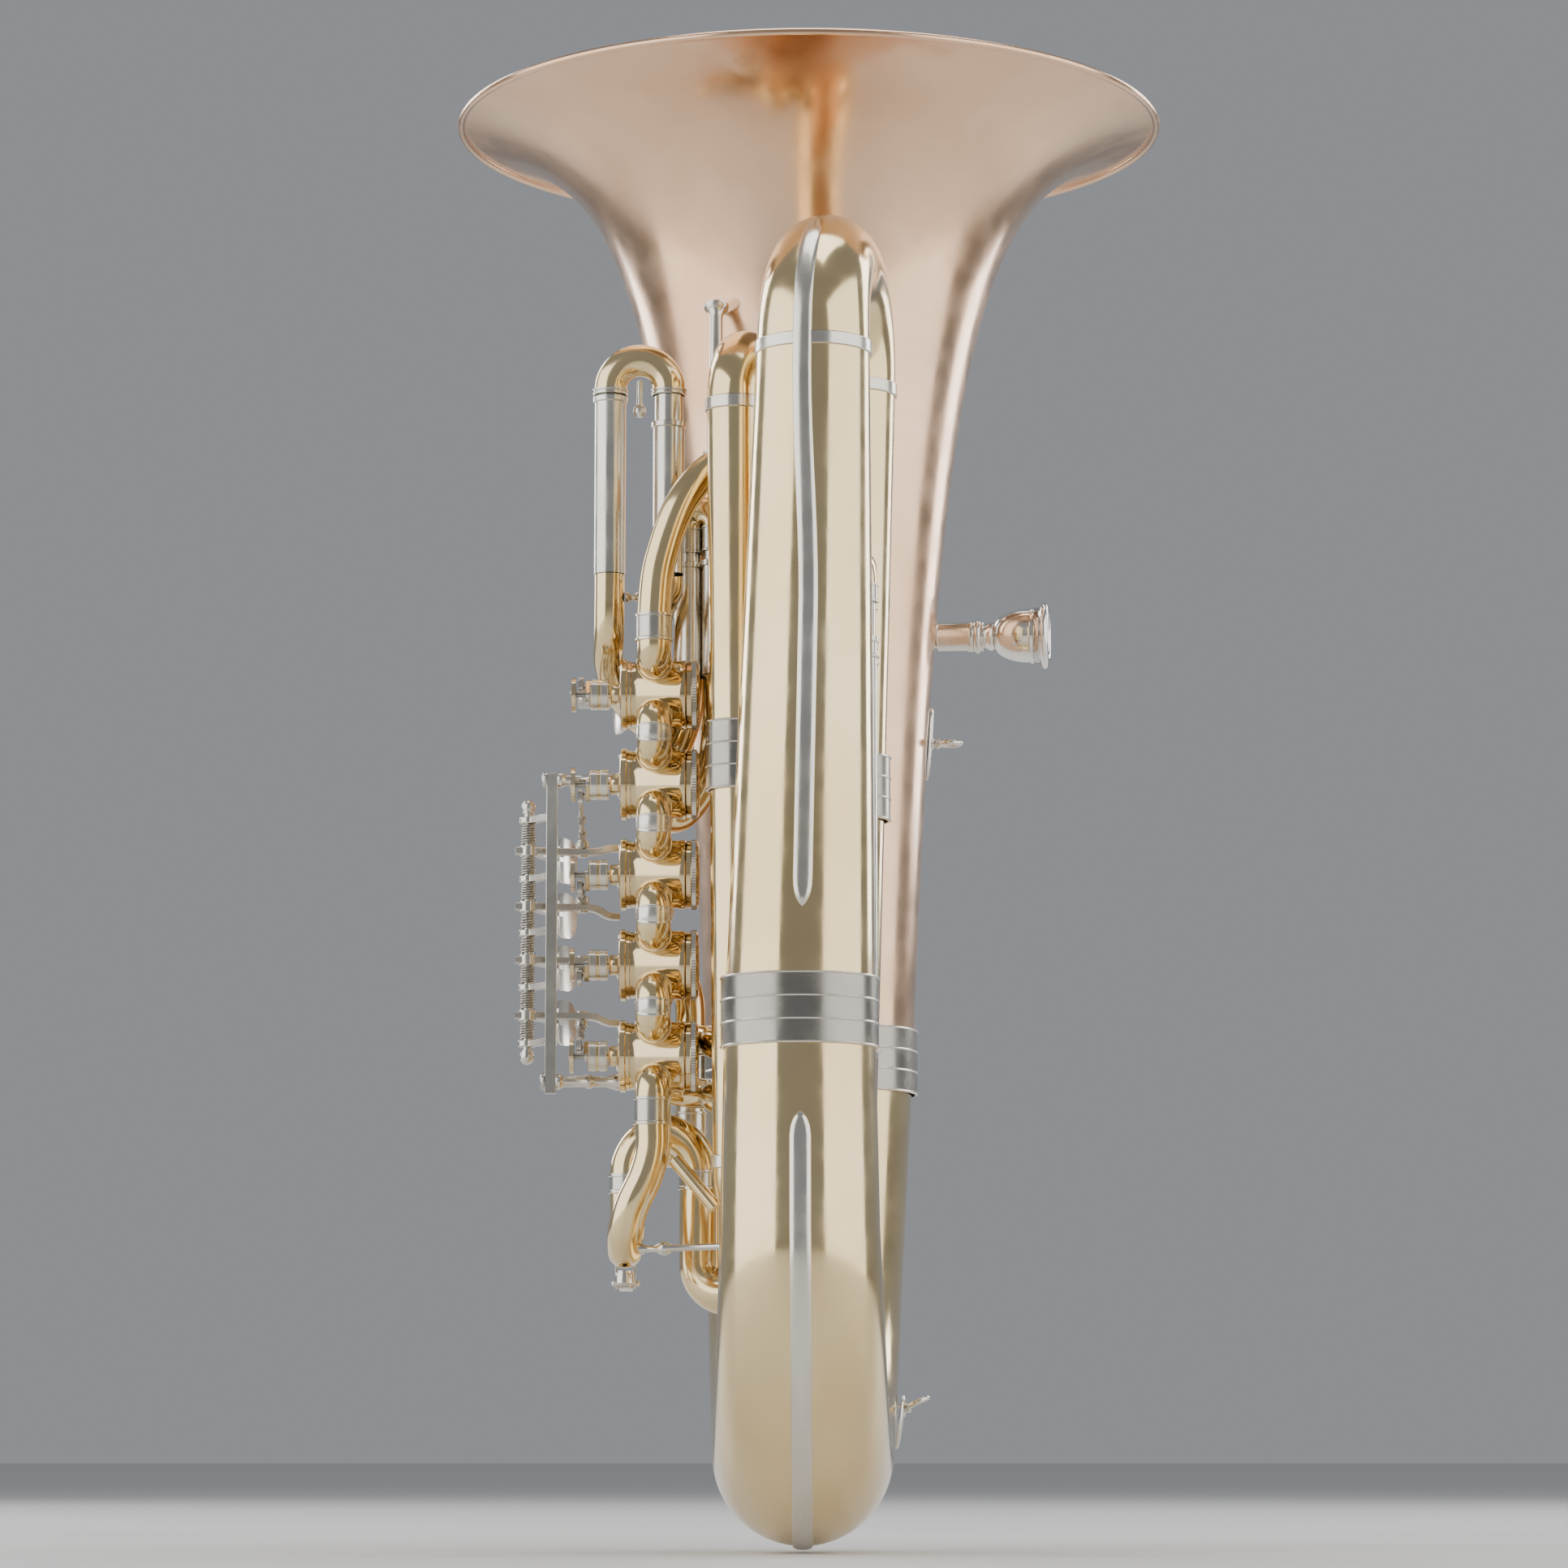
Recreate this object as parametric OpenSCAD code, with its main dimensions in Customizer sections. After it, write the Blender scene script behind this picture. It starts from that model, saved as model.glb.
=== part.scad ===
// Oval euphonium with five rotary valves, bell up.
// +Z points up along the bell, +X towards the player, -Y towards the outer branch.
// The origin is the middle of the underside of the bounding box.

/* [Bell] */
// Height from the underside of the bottom bow to the bell rim
body_h = 672; // [664:1:680]
// Radius of the bell at its rim
rim_r = 168; // [164:1:172]
// Wall thickness of the bell and the wide tubing
wall = 1.2; // [0.8:0.1:1.6]

/* [Body] */
// Distance from the bell's axis to the outer branch's axis
span = 190; // [188:1:192]
// Radius of the bottom bow's bend, at the middle of the tube
bow_bend_r = 95; // [94:0.5:96]
// Largest radius of the bottom bow's leg under the outer branch
leg_r = 34.2; // [33.5:0.1:34.5]
// Thickness of the half-round guard strips
strip_t = 1.8; // [1.2:0.1:2.2]

/* [Valves] */
// Distance between neighbouring rotor axes
valve_pitch = 41; // [41:0.1:41.5]
// Outer radius of a rotor casing
casing_r = 15.5; // [15:0.1:15.6]
// Bore radius of a rotor casing
casing_bore_r = 13.05; // [12.8:0.05:13.2]
// Radial running clearance of each rotor in its casing
rotor_gap = 0.05; // [0.03:0.01:0.1]
// Outer radius of the cylindrical valve tubing
tube_r = 7.75; // [7.4:0.05:7.75]
// Wall thickness of the cylindrical valve tubing
tube_wall = 0.7; // [0.5:0.1:0.9]

/* [Levers] */
// Turn of a lever from rest to fully pressed, in degrees
lever_swing = 20; // [18:1:20]
// Radius of the pins on the rotor cranks
crank_r = 6; // [6:0.1:6.2]
// Thickness of each lever strip
lever_t = 3; // [2.5:0.1:3.2]

/* [Mouthpiece] */
// Outer radius of the mouthpiece rim
mouth_rim_r = 16.5; // [16:0.1:19]
// Length of the mouthpiece cup
cup_len = 29; // [28:0.5:30]

/* [Hidden] */
$fn = 48;

// Places
front_reach = leg_r + strip_t;
bell_y = (span + front_reach - rim_r) / 2;
branch_y = bell_y - span;
bow_y = (bell_y + branch_y) / 2;
bow_z = bow_bend_r + 42;
bell_foot_z = 223;
branch_foot_z = 229;
branch_top_z = 523;
leg_x = -4;
top_x = 1;
joint_gap = 0.6;
fit_gap = 0.05;

// The bell flares as a Bessel horn
rim_bead_r = 1.8;
bell_top_z = body_h - rim_bead_r;
bell_top_r = rim_r - 2 * rim_bead_r - 0.1;
flare_offset = 16.7;
flare_power = 0.3667;
function bell_r(z) = bell_top_r * pow(flare_offset / (flare_offset + bell_top_z - z), flare_power);

// Valve section
valve_x = -70;
valve_y = bell_y - 90;
valve_top_z = 383;
function valve_z(n) = n == 5 ? valve_top_z : valve_top_z - n * valve_pitch;
function row_z(k) = valve_top_z - k * valve_pitch;
crook_bend_r = 8.25;
port_z = valve_pitch / 2 - crook_bend_r;
port_reach = 17;
casing_front_x = -82.6;
casing_back_x = -56;
flange_t = 3;
flange_r = 16.3;
cap_back_x = -50;
spindle_r = 2;
spindle_tip_r = 1.2;
far_y = valve_y + port_reach;
near_y = valve_y - port_reach;

// Lever carriage
lever_x = -128.5;
lever_y = -34;
lever_zs = [315, 289.5, 265, 239.7];
bracket_zs = [329, 302, 277.3, 252.4, 226.8];
hinge_r = 2;
link_arm = 24.98;
link_x = lever_x + link_arm * cos(lever_swing / 2);
stud_dy = link_arm * sin(lever_swing / 2);
bar_x = -117;
bar_y = -49;
bar_top_z = 348.5;
bar_bottom_z = 203;
post_zs = [345.6, 208.5];
thumb_x = link_x + link_arm * cos(lever_swing / 2);
thumb_y = -12;

// Leadpipe and mouthpiece
mouth_z = 435;
mouth_y = bell_y + 62;
mouth_dir = [cos(6), -sin(6), 0];
receiver_start = [62, mouth_y - 2, mouth_z];
lead_r = 6;
lead_top_r = 8;
shank_r = 5.6;

// Curve helpers
function unit(v) = v / norm(v);
function catmull(a, b, c, d, t) =
    0.5 * ((2 * b) + (c - a) * t + (2 * a - 5 * b + 4 * c - d) * t * t
    + (3 * b - a - 3 * c + d) * t * t * t);
function spline(p, steps) = let (last = len(p) - 1) concat(
    [for (i = [0:last - 1]) for (k = [0:steps - 1])
        catmull(p[max(i - 1, 0)], p[i], p[i + 1], p[min(i + 2, last)], k / steps)],
    [p[last]]);
function tangent(p, i) = let (last = len(p) - 1)
    i == 0 ? unit(4 * p[1] - 3 * p[0] - p[2]) :
    i == last ? unit(3 * p[last] - 4 * p[last - 1] + p[last - 2]) :
    unit(p[i + 1] - p[i - 1]);
function side_start(t) = unit(cross(t, abs(t[2]) > 0.9 ? [1, 0, 0] : [0, 0, 1]));
function carry(side, t) = unit(side - (side * t) * t);
function sides_along(p, i = 0, acc = []) = i == len(p) ? acc :
    let (t = tangent(p, i), s = i == 0 ? side_start(t) : carry(acc[i - 1], t))
    sides_along(p, i + 1, concat(acc, [s]));
function ring(c, t, s, r, n) = let (u = cross(t, s))
    [for (k = [0:n - 1]) c + r * (cos(360 * k / n) * s + sin(360 * k / n) * u)];
function lerp(a, b, t) = a + (b - a) * t;

// A hollow tube along path p, whose outer radius is r[i] at point i
module sweep(p, r, thick, n) {
    m = len(p);
    side = sides_along(p);
    outer = [for (i = [0:m - 1]) each ring(p[i], tangent(p, i), side[i], r[i], n)];
    inner = [for (i = [0:m - 1]) each ring(p[i], tangent(p, i), side[i], r[i] - thick, n)];
    o = m * n;
    skin = [for (i = [0:m - 2]) for (k = [0:n - 1]) let (j = (k + 1) % n)
        [i * n + k, (i + 1) * n + k, (i + 1) * n + j, i * n + j]];
    bore = [for (i = [0:m - 2]) for (k = [0:n - 1]) let (j = (k + 1) % n)
        [o + i * n + j, o + (i + 1) * n + j, o + (i + 1) * n + k, o + i * n + k]];
    near = [for (k = [0:n - 1]) let (j = (k + 1) % n) [k, j, o + j, o + k]];
    e = (m - 1) * n;
    far = [for (k = [0:n - 1]) let (j = (k + 1) % n) [o + e + k, o + e + j, e + j, e + k]];
    polyhedron(concat(outer, inner), concat(skin, bore, near, far), convexity = 8);
}
// A spline tube of steady taper
module spline_tube(points, r1, r2, thick, n, steps) {
    p = spline(points, steps);
    sweep(p, [for (i = [0:len(p) - 1]) lerp(r1, r2, i / (len(p) - 1))], thick, n);
}
// A bend of half a turn between two upright legs; up = 1 arches over, -1 hangs under
function half_bend(a, b, z, up, steps) = let (c = (a + b) / 2, h = (a - b) / 2)
    [for (i = [0:steps]) let (w = 180 * i / steps)
        [c[0] + h[0] * cos(w), c[1] + h[1] * cos(w), z + up * norm(h) * sin(w)]];
module bend_tube(a, b, z, up, r1, r2, n, steps) {
    p = half_bend(a, b, z, up, steps);
    sweep(p, [for (i = [0:steps]) lerp(r1, r2, i / steps)], wall, n);
}
// Puts its children's +Z axis along the line from a to b
module along(a, b) {
    d = b - a;
    translate(a)
        rotate([0, acos(d[2] / norm(d)), atan2(d[1], d[0])])
            children();
}
module cone_tube(a, ra, b, rb, thick) {
    along(a, b)
        difference() {
            cylinder(h = norm(b - a), r1 = ra, r2 = rb);
            translate([0, 0, -1])
                cylinder(h = norm(b - a) + 2, r1 = ra - thick, r2 = rb - thick);
        }
}
module rod(a, b, r) {
    along(a, b) cylinder(h = norm(b - a), r = r);
}
module ring_sleeve(r_in, r_out, h) {
    difference() {
        cylinder(h = h, r = r_out);
        translate([0, 0, -1]) cylinder(h = h + 2, r = r_in);
    }
}
// Three-band ferrule: a sleeve with a raised line at each band's edge
module banded_sleeve(r_in, h) {
    lines = 4;
    line_h = 1;
    rotate_extrude()
        polygon(concat([[r_in, 0], [r_in, h]],
            [for (k = [lines - 1:-1:0]) let (z = (h - line_h) * k / (lines - 1))
                each [[r_in + 1.0, z + line_h], [r_in + 1.4, z + line_h * 0.7],
                    [r_in + 1.4, z + line_h * 0.3], [r_in + 1.0, z]]]));
}

// Wide tubing
inner_xy = [-24, -56];
front_xy = [-33, -101];
player_xy = [18.3, -76];
player_foot_xy = [14.5, -79];
front_foot_xy = [-31, -101];
return_z = 166;
front_top_z = 511;
inner_foot_z = 128;
inner_start_xy = [-50, -44];
inner_start_z = 160;

module bell() {
    color("goldenrod")
        translate([0, bell_y, 0]) difference() {
            rotate_extrude($fn = 96) bell_outline(0);
            rotate_extrude($fn = 96) bell_outline(wall);
        }
}
module bell_outline(inset) {
    steps = 22;
    extra = inset > 0 ? 1 : 0;
    top = bell_top_z;
    zs = [for (i = [0:steps]) bell_foot_z + joint_gap + (top - bell_foot_z - joint_gap)
        * (1 - pow(1 - i / steps, 2.2))];
    polygon(concat([[0, zs[0] - extra], [bell_r(zs[0]) - inset, zs[0] - extra]],
        [for (z = zs) [bell_r(z) - inset, z]],
        [[bell_r(top) - inset, top + extra], [0, top + extra]]));
}
module rim_wire() {
    color("goldenrod")
        translate([0, bell_y, body_h - rim_bead_r])
            rotate_extrude($fn = 96)
                translate([rim_r - rim_bead_r, 0]) circle(r = rim_bead_r, $fn = 24);
}
module bell_ferrule() {
    color("silver")
        translate([0, bell_y, 208]) banded_sleeve(bell_r(238) + 0.3, 30);
}
bow_r_foot = 32.3;
bow_r_bell = bell_r(bell_foot_z);
bow_r_bell_bend = 46;
bow_steps = 14;
bow_points = concat([[leg_x - 1, branch_y, branch_foot_z], [leg_x - 1, branch_y, (branch_foot_z + bow_z) / 2]],
    [for (i = [0:bow_steps]) let (w = 180 * i / bow_steps)
        [lerp(leg_x - 1, leg_x + 2, i / bow_steps), bow_y - bow_bend_r * cos(w), bow_z - bow_bend_r * sin(w)]],
    [for (t = [0.5, 0.75, 1]) [t < 0.7 ? -0.6 : 0, bell_y, lerp(bow_z, bell_foot_z, t)]]);
bow_radii = concat([bow_r_foot, (bow_r_foot + leg_r) / 2],
    [for (i = [0:bow_steps]) lerp(leg_r, bow_r_bell_bend, i / bow_steps)],
    [for (t = [0.5, 0.75, 1]) lerp(bow_r_bell_bend, bow_r_bell, t)]);
module bottom_bow() {
    color("gold") sweep(bow_points, bow_radii, wall, 28);
}
module bow_ferrule() {
    color("silver") translate([leg_x - 1, branch_y, 214]) banded_sleeve(bow_r_foot + 0.5, 30.5);
}
branch_top_r = 24.8;
module outer_branch() {
    color("gold")
        cone_tube([leg_x - 1, branch_y, branch_foot_z + joint_gap], bow_r_foot,
            [top_x, branch_y, branch_top_z - joint_gap], branch_top_r, wall);
}
player_top_r = 20.5;
player_foot_r = 14.3;
module top_bow() {
    color("gold")
        bend_tube([top_x, branch_y], player_xy, branch_top_z, 1, branch_top_r, player_top_r, 24, 12);
}
module player_branch() {
    color("gold")
        cone_tube([player_foot_xy[0], player_foot_xy[1], return_z + joint_gap], player_foot_r,
            [player_xy[0], player_xy[1], branch_top_z - joint_gap], player_top_r, wall);
}
front_foot_r = 12.2;
front_top_r = 13.4;
module return_bow() {
    color("gold")
        bend_tube(player_foot_xy, front_foot_xy, return_z, -1, player_foot_r, front_foot_r, 20, 10);
}
module front_branch() {
    color("gold")
        cone_tube([front_foot_xy[0], front_foot_xy[1], return_z + joint_gap], front_foot_r,
            [front_xy[0], front_xy[1], front_top_z - joint_gap], front_top_r, wall);
}
inner_top_r = 12;
inner_foot_r = 11;
module front_top_bow() {
    color("gold")
        bend_tube(front_xy, inner_xy, front_top_z, 1, front_top_r, inner_top_r, 20, 10);
}
module inner_branch() {
    color("gold")
        cone_tube([inner_xy[0], inner_xy[1], inner_foot_z + joint_gap], inner_foot_r,
            [inner_xy[0], inner_xy[1], front_top_z - joint_gap], inner_top_r, wall);
}
module inner_bow() {
    steps = 10;
    p = concat([[inner_start_xy[0], inner_start_xy[1], inner_start_z]],
        half_bend(inner_start_xy, inner_xy, inner_foot_z, -1, steps));
    color("gold") sweep(p, [for (i = [0:steps + 1]) lerp(8.6, inner_foot_r, i / (steps + 1))], wall, 18);
}
module branch_ferrules() {
    color("silver") {
        translate([16.7, -77.3, 323]) banded_sleeve(18.1, 29);
        translate([-32.1, -101, 333.5]) banded_sleeve(13.2, 31);
    }
}

// Leadpipe, mouthpiece and the tube out of the last valve
module leadpipe() {
    color("gold")
        spline_tube([receiver_start, [44, mouth_y + 3, 433], [16, mouth_y + 8, 429], [-22, mouth_y + 3, 420],
            [-52, bell_y + 45, 402], [-68, bell_y + 12, 387], [-66, bell_y - 22, 388],
            [-50, bell_y - 48, 397], [-33.7, -29.7, 408], [-17, -37, 420], [-6, -47, 434],
            [-3.4, -58.3, 448], [-6.5, -64.6, 455], [-10, -72, 463], [-17, -78, 477], [-28, -78.5, 486],
            [-43, -80, 485], [-58, -85, 467], [-67.5, near_y - 8.25, 440],
            [valve_x, near_y - 8.25, 418], [valve_x, near_y - 8.25, 404.4]],
            lead_r - 0.8, lead_top_r - 0.3, tube_wall, 12, 2);
}
module mouthpiece_receiver() {
    color("silver")
        along(receiver_start + 0.6 * mouth_dir, receiver_start + 2 * mouth_dir) difference() {
            union() {
                cylinder(h = 16, r = 7);
                translate([0, 0, 16]) cylinder(h = 2, r = 7.6);
                translate([0, 0, 18]) cylinder(h = 2.6, r = 8.4);
                translate([0, 0, 20.6]) cylinder(h = 2, r = 7.4);
            }
            translate([0, 0, -1]) cylinder(h = 26, r = shank_r + fit_gap);
        }
}
module mouthpiece() {
    start = receiver_start + 2 * mouth_dir;
    end = mouth_shank_len + cup_len;
    color("silver")
        along(start, start + mouth_dir) rotate_extrude($fn = 64)
            polygon(concat([[3, 0], [shank_r, 0], [shank_r, mouth_shank_len - 2], [6.8, mouth_shank_len],
                [6.2, mouth_shank_len + 1.5]],
                [for (i = [0:6]) let (w = 90 * i / 6)
                    [6.4 + 6.6 * sin(w), mouth_shank_len + 3 + 15 * (1 - cos(w))]],
                [[13.4, end - 6], [14.6, end - 4.5], [mouth_rim_r, end - 3.4], [mouth_rim_r, end - 2],
                [mouth_rim_r - 1.4, end - 0.5], [mouth_rim_r - 3, end], [mouth_rim_r - 4.4, end - 0.8]],
                [for (i = [0:6]) let (w = 90 * i / 6)
                    [2.2 + (mouth_rim_r - 7.4) * cos(w), end - 3 - 15 * sin(w)]],
                [[2.2, mouth_shank_len + 4], [3, mouth_shank_len - 4]]));
}
mouth_shank_len = 24;
outlet_y = near_y - crook_bend_r;
module outlet_tube() {
    color("gold")
        spline_tube([[valve_x, outlet_y, 198], [valve_x, outlet_y, 189], [valve_x, outlet_y, 176], [-73, outlet_y, 164],
            [-79, outlet_y + 0.5, 151], [-82, -82, 140], [-82.5, -74, 133.5], [-82.5, -66, 132],
            [-82.5, -56, 136], [-82, -50, 148], [-82, -48, 160], [-81.5, -46.5, 172], [-76, -45, 181.5],
            [-66, -44.5, 186], [-56, -44, 181.5], [-50.5, -44, 172], [-50, -44, 161]],
            tube_r - 0.15, tube_r + 0.6, tube_wall, 14, 2);
}
module tube_ferrules() {
    color("silver") {
        translate([valve_x, outlet_y, 403.1]) ring_sleeve(lead_top_r + 0.15, lead_top_r + 0.6, 13);
        translate([valve_x, outlet_y, 186]) ring_sleeve(tube_r + fit_gap, tube_r + 0.6, 12);
    }
}

// Guard strips: half-round bars laid on the outer side of the branch and the bow
function strip_section(w) = [for (k = [0:8]) let (a = 180 * k / 8) [w / 2 * cos(a), strip_t * sin(a)]];
module strip_along(p, out, widths) {
    m = len(p);
    n = 9;
    pts = [for (i = [0:m - 1]) let (s = strip_section(widths[i]), across = unit(cross(out[i], tangent(p, i))))
        each [for (q = s) p[i] + q[0] * across + q[1] * out[i]]];
    skin = [for (i = [0:m - 2]) for (k = [0:n - 1]) let (j = (k + 1) % n)
        [i * n + k, (i + 1) * n + k, (i + 1) * n + j, i * n + j]];
    near = [[for (k = [0:n - 1]) k]];
    far = [[for (k = [n - 1:-1:0]) (m - 1) * n + k]];
    polyhedron(pts, concat(skin, near, far), convexity = 4);
}
function branch_x(z) = lerp(leg_x - 1, top_x, (z - branch_foot_z) / (branch_top_z - branch_foot_z));
function branch_r(z) = lerp(bow_r_foot, branch_top_r, (z - branch_foot_z) / (branch_top_z - branch_foot_z));
strip_w = 8.3;
low_strip_w = 9;
top_bend_r = norm(player_xy - [top_x, branch_y]) / 2;
top_mid = [(player_xy[0] + top_x) / 2, (player_xy[1] + branch_y) / 2, branch_top_z];
top_dir = unit([player_xy[0] - top_x, player_xy[1] - branch_y, 0]);
function top_out(a) = -cos(a) * top_dir + [0, 0, sin(a)];
function top_tube(a) = lerp(branch_top_r, player_top_r, a / 180) + 0.15;
function turn_out(a) = [0, -cos(a), -sin(a)];
function turn_tube(a) = lerp(leg_r, bow_r_bell_bend, a / 180) + 0.2;
function low_r(z) = lerp(leg_r, bow_r_foot, (z - bow_z) / (branch_foot_z - bow_z)) + 0.2;
module guard_strips() {
    color("silver") {
        upper_guard();
        lower_guard();
    }
}
function blend(t) = let (u = min(max(t, 0), 1)) u * u * (3 - 2 * u);
function branch_out(z) = unit(lerp([0, -1, 0], -top_dir, blend((z - 400) / 121)));
module upper_guard() {
    zs = [272, 277, 284, 340, 400, 425, 450, 475, 500, 521];
    turns = [8:8:56];
    strip_along(
        concat([for (z = zs) [branch_x(z), branch_y, z] + (branch_r(z) + 0.15) * branch_out(z)],
            [for (a = turns) top_mid + (top_bend_r + top_tube(a)) * top_out(a)]),
        concat([for (z = zs) branch_out(z)], [for (a = turns) top_out(a)]),
        concat([0.8, 4.5], [for (k = [3:len(zs)]) strip_w], [for (a = turns) strip_w - a / 12]));
}
module lower_guard() {
    zs = [185, 181, 176, 156];
    turns = [0:9:108];
    strip_along(
        concat([for (z = zs) [leg_x - 1, branch_y - low_r(z), z]],
            [for (a = turns) [lerp(leg_x - 1, leg_x + 2, a / 180), bow_y, bow_z]
                + (bow_bend_r + turn_tube(a)) * turn_out(a)]),
        concat([for (z = zs) [0, -1, 0]], [for (a = turns) turn_out(a)]),
        concat([0.8, 5, low_strip_w, low_strip_w], [for (a = turns) low_strip_w]));
}

// Valves
module along_x(x) {
    translate([x, 0, 0]) rotate([0, 90, 0]) children();
}
module at_valve(n) {
    translate([0, valve_y, valve_z(n)]) children();
}
module casing(n) {
    length = casing_back_x - casing_front_x;
    color("peru")
        at_valve(n) difference() {
            union() {
                along_x(casing_front_x) cylinder(h = length, r = casing_r, $fn = 64);
                along_x(casing_front_x - flange_t) cylinder(h = flange_t, r = flange_r, $fn = 64);
                along_x(casing_front_x - flange_t - 4.5) cylinder(h = 4.5, r = 4.6);
                for (s = [-1, 1], t = [-1, 1])
                    translate([valve_x, s * (port_reach + 4) / 2, t * port_z])
                        rotate([90, 0, 0]) cylinder(h = port_reach - 4, r = tube_r, center = true);
            }
            along_x(casing_front_x + 0.01) cylinder(h = length + 1, r = casing_bore_r, $fn = 64);
            along_x(casing_front_x - flange_t - 6) cylinder(h = 12, r = spindle_r + rotor_gap);
            for (s = [-1, 1], t = [-1, 1])
                translate([valve_x, s * (port_reach + 7) / 2, t * port_z])
                    rotate([90, 0, 0])
                        cylinder(h = port_reach - 5, r = tube_r - tube_wall, center = true);
        }
}
// Which way a rotor's crank pin lies from its axis
function pin_side(n) = n >= 4 ? 1 : -1;
module rotor(n) {
    color("silver")
        at_valve(n) {
            difference() {
                union() {
                    along_x(-80) cylinder(h = 21, r = casing_bore_r - rotor_gap, $fn = 64);
                    along_x(-100) cylinder(h = 22, r = spindle_r);
                    along_x(-107.8) cylinder(h = 9, r = spindle_tip_r);
                    along_x(-60) cylinder(h = 6, r = spindle_r);
                    along_x(-99.5) cylinder(h = 8.5, r = 6.8);
                    along_x(-107.8) cylinder(h = 1.8, r = 7.9);
                    crank(n);
                }
                for (s = [-1, 1])
                    translate([valve_x, s * 19, 0]) rotate([0, 90, 0])
                        rotate_extrude() translate([port_z, 0]) circle(r = 4.6);
            }
        }
}
module crank(n) {
    pin = crank_r * [cos(45), pin_side(n) * sin(45)];
    intersection() {
        along_x(-101.6) cylinder(h = 2.1, r = crank_r + 2);
        rotate([pin_side(n) * 45, 0, 0]) translate([-102, -1, -2.2]) cube([3, 12, 4.4]);
    }
    translate([-103.4, pin[0], pin[1]]) sphere(r = crank_ball_r, $fn = 24);
    translate([-103.4, pin[0], pin[1]]) rotate([0, 90, 0]) cylinder(h = 3, r = 0.8);
}
module valve_caps() {
    color("silver")
        for (n = [1:5]) at_valve(n) difference() {
            union() {
                along_x(casing_back_x) cylinder(h = 2.6, r = casing_r - 0.3, $fn = 64);
                along_x(casing_back_x + 2.6) cylinder(h = 2.2, r = casing_r + 0.3, $fn = 64);
                along_x(casing_back_x + 4.8) cylinder(h = 1.2, r = casing_r - 0.8, $fn = 64);
            }
            along_x(casing_back_x - 1) cylinder(h = 4, r = spindle_r + rotor_gap);
        }
}
// Each crook joins a valve's lower near port to the next valve's upper near port
module crooks() {
    color("gold") {
        for (k = [0:3]) translate([valve_x, near_y, row_z(k) - valve_pitch / 2])
            rotate([0, 90, 0]) rotate([0, 0, 180]) port_bend(180);
        translate([valve_x, near_y, row_z(0) + port_z + crook_bend_r])
            rotate([0, 90, 0]) rotate([0, 0, -90]) port_bend(90);
        translate([valve_x, near_y, row_z(4) - port_z - crook_bend_r])
            rotate([0, 90, 0]) rotate([0, 0, 180]) port_bend(90);
    }
}
module port_bend(turn) {
    rotate_extrude(angle = turn, $fn = 64)
        translate([crook_bend_r, 0]) difference() {
            circle(r = tube_r, $fn = 32);
            circle(r = tube_r - tube_wall, $fn = 32);
        }
}
module crook_ferrules() {
    color("silver")
        for (k = [0:3]) translate([valve_x, near_y, row_z(k) - valve_pitch / 2])
            rotate([0, 90, 0]) rotate([0, 0, 270 - 26])
                rotate_extrude(angle = 52, $fn = 64)
                    translate([crook_bend_r, 0]) difference() {
                        circle(r = tube_r + 0.4, $fn = 32);
                        circle(r = tube_r + fit_gap, $fn = 32);
                    }
}

// Valve levers: a strip on the hinge rod with a stud for the link and a finger paddle
lever_rest = lever_swing / 2;
hub_r = 4.2;
hub_h = 5;
stud_r = 1.2;
strip_h = 6;
paddle_y = 42;
function link_side(n) = n == 5 || valve_z(n) > lever_zs[n - 1] ? 1 : -1;
module lever(n) {
    z = lever_zs[n - 1];
    color("silver")
        translate([lever_x, lever_y, 0]) {
            difference() {
                union() {
                    translate([0, 0, z - hub_h / 2]) cylinder(h = hub_h, r = hub_r);
                    translate([0, 0, z]) rotate([0, 0, lever_rest]) lever_arm();
                    translate([0, 0, z]) rotate([0, 0, 70]) finger_arm();
                }
                translate([0, 0, z - 10]) cylinder(h = 20, r = hinge_r + fit_gap);
            }
            rotate([0, 0, lever_rest]) translate([link_arm, 0, z])
                cylinder(h = 2 * (lever_t / 2 + 3.6), r = stud_r, center = true);
        }
}
module lever_arm() {
    translate([-6, -strip_h / 2, -lever_t / 2]) cube([48, strip_h, lever_t]);
}
module finger_arm() {
    translate([0, -2.5, -lever_t / 2]) cube([paddle_y - 6, 5, lever_t]);
    translate([paddle_y - 8, -1.4, 0]) rotate([90, 0, 0]) intersection() {
        cylinder(h = 2, r = 13.2, center = true);
        cube([21, 23, 4], center = true);
    }
}
module lever_springs() {
    gap = 0.2;
    color("silver")
        for (n = [1:4], side = [-1, 1]) {
            inner = lever_zs[n - 1] + side * (hub_h / 2 + gap);
            outer = side > 0 ? bracket_zs[n - 1] - 1.5 - gap : bracket_zs[n] + 1.5 + gap;
            translate([lever_x, lever_y, min(inner, outer)])
                ring_sleeve(hinge_r + 0.3, 3.7, abs(outer - inner));
        }
}
// Links: an eye on the lever's stud and a slotted eye round the crank's ball
link_r = 1.3;
module link(n) {
    side = link_side(n);
    stud_z = (n == 5 ? thumb_z : lever_zs[n - 1]) + side * (lever_t / 2 + 1.7);
    stud_y = n == 5 ? thumb_y + stud_dy : lever_y + stud_dy;
    pin = [link_x, valve_y + crank_r * cos(45), valve_z(n) + pin_side(n) * crank_r * sin(45)];
    stud = [link_x, stud_y, stud_z];
    dir = unit(pin - stud);
    color("silver") difference() {
        union() {
            translate(stud) cylinder(h = 2.6, r = 3.2, center = true);
            rod(stud + 2.6 * dir, pin - 2.3 * dir, link_r);
            translate(pin) eye_solid(pin_side(n), eye_r, 1.3);
        }
        translate(stud) cylinder(h = 5, r = stud_r + fit_gap, center = true);
        translate(pin) eye_solid(pin_side(n), crank_ball_r + 0.35, 3);
    }
}
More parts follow.
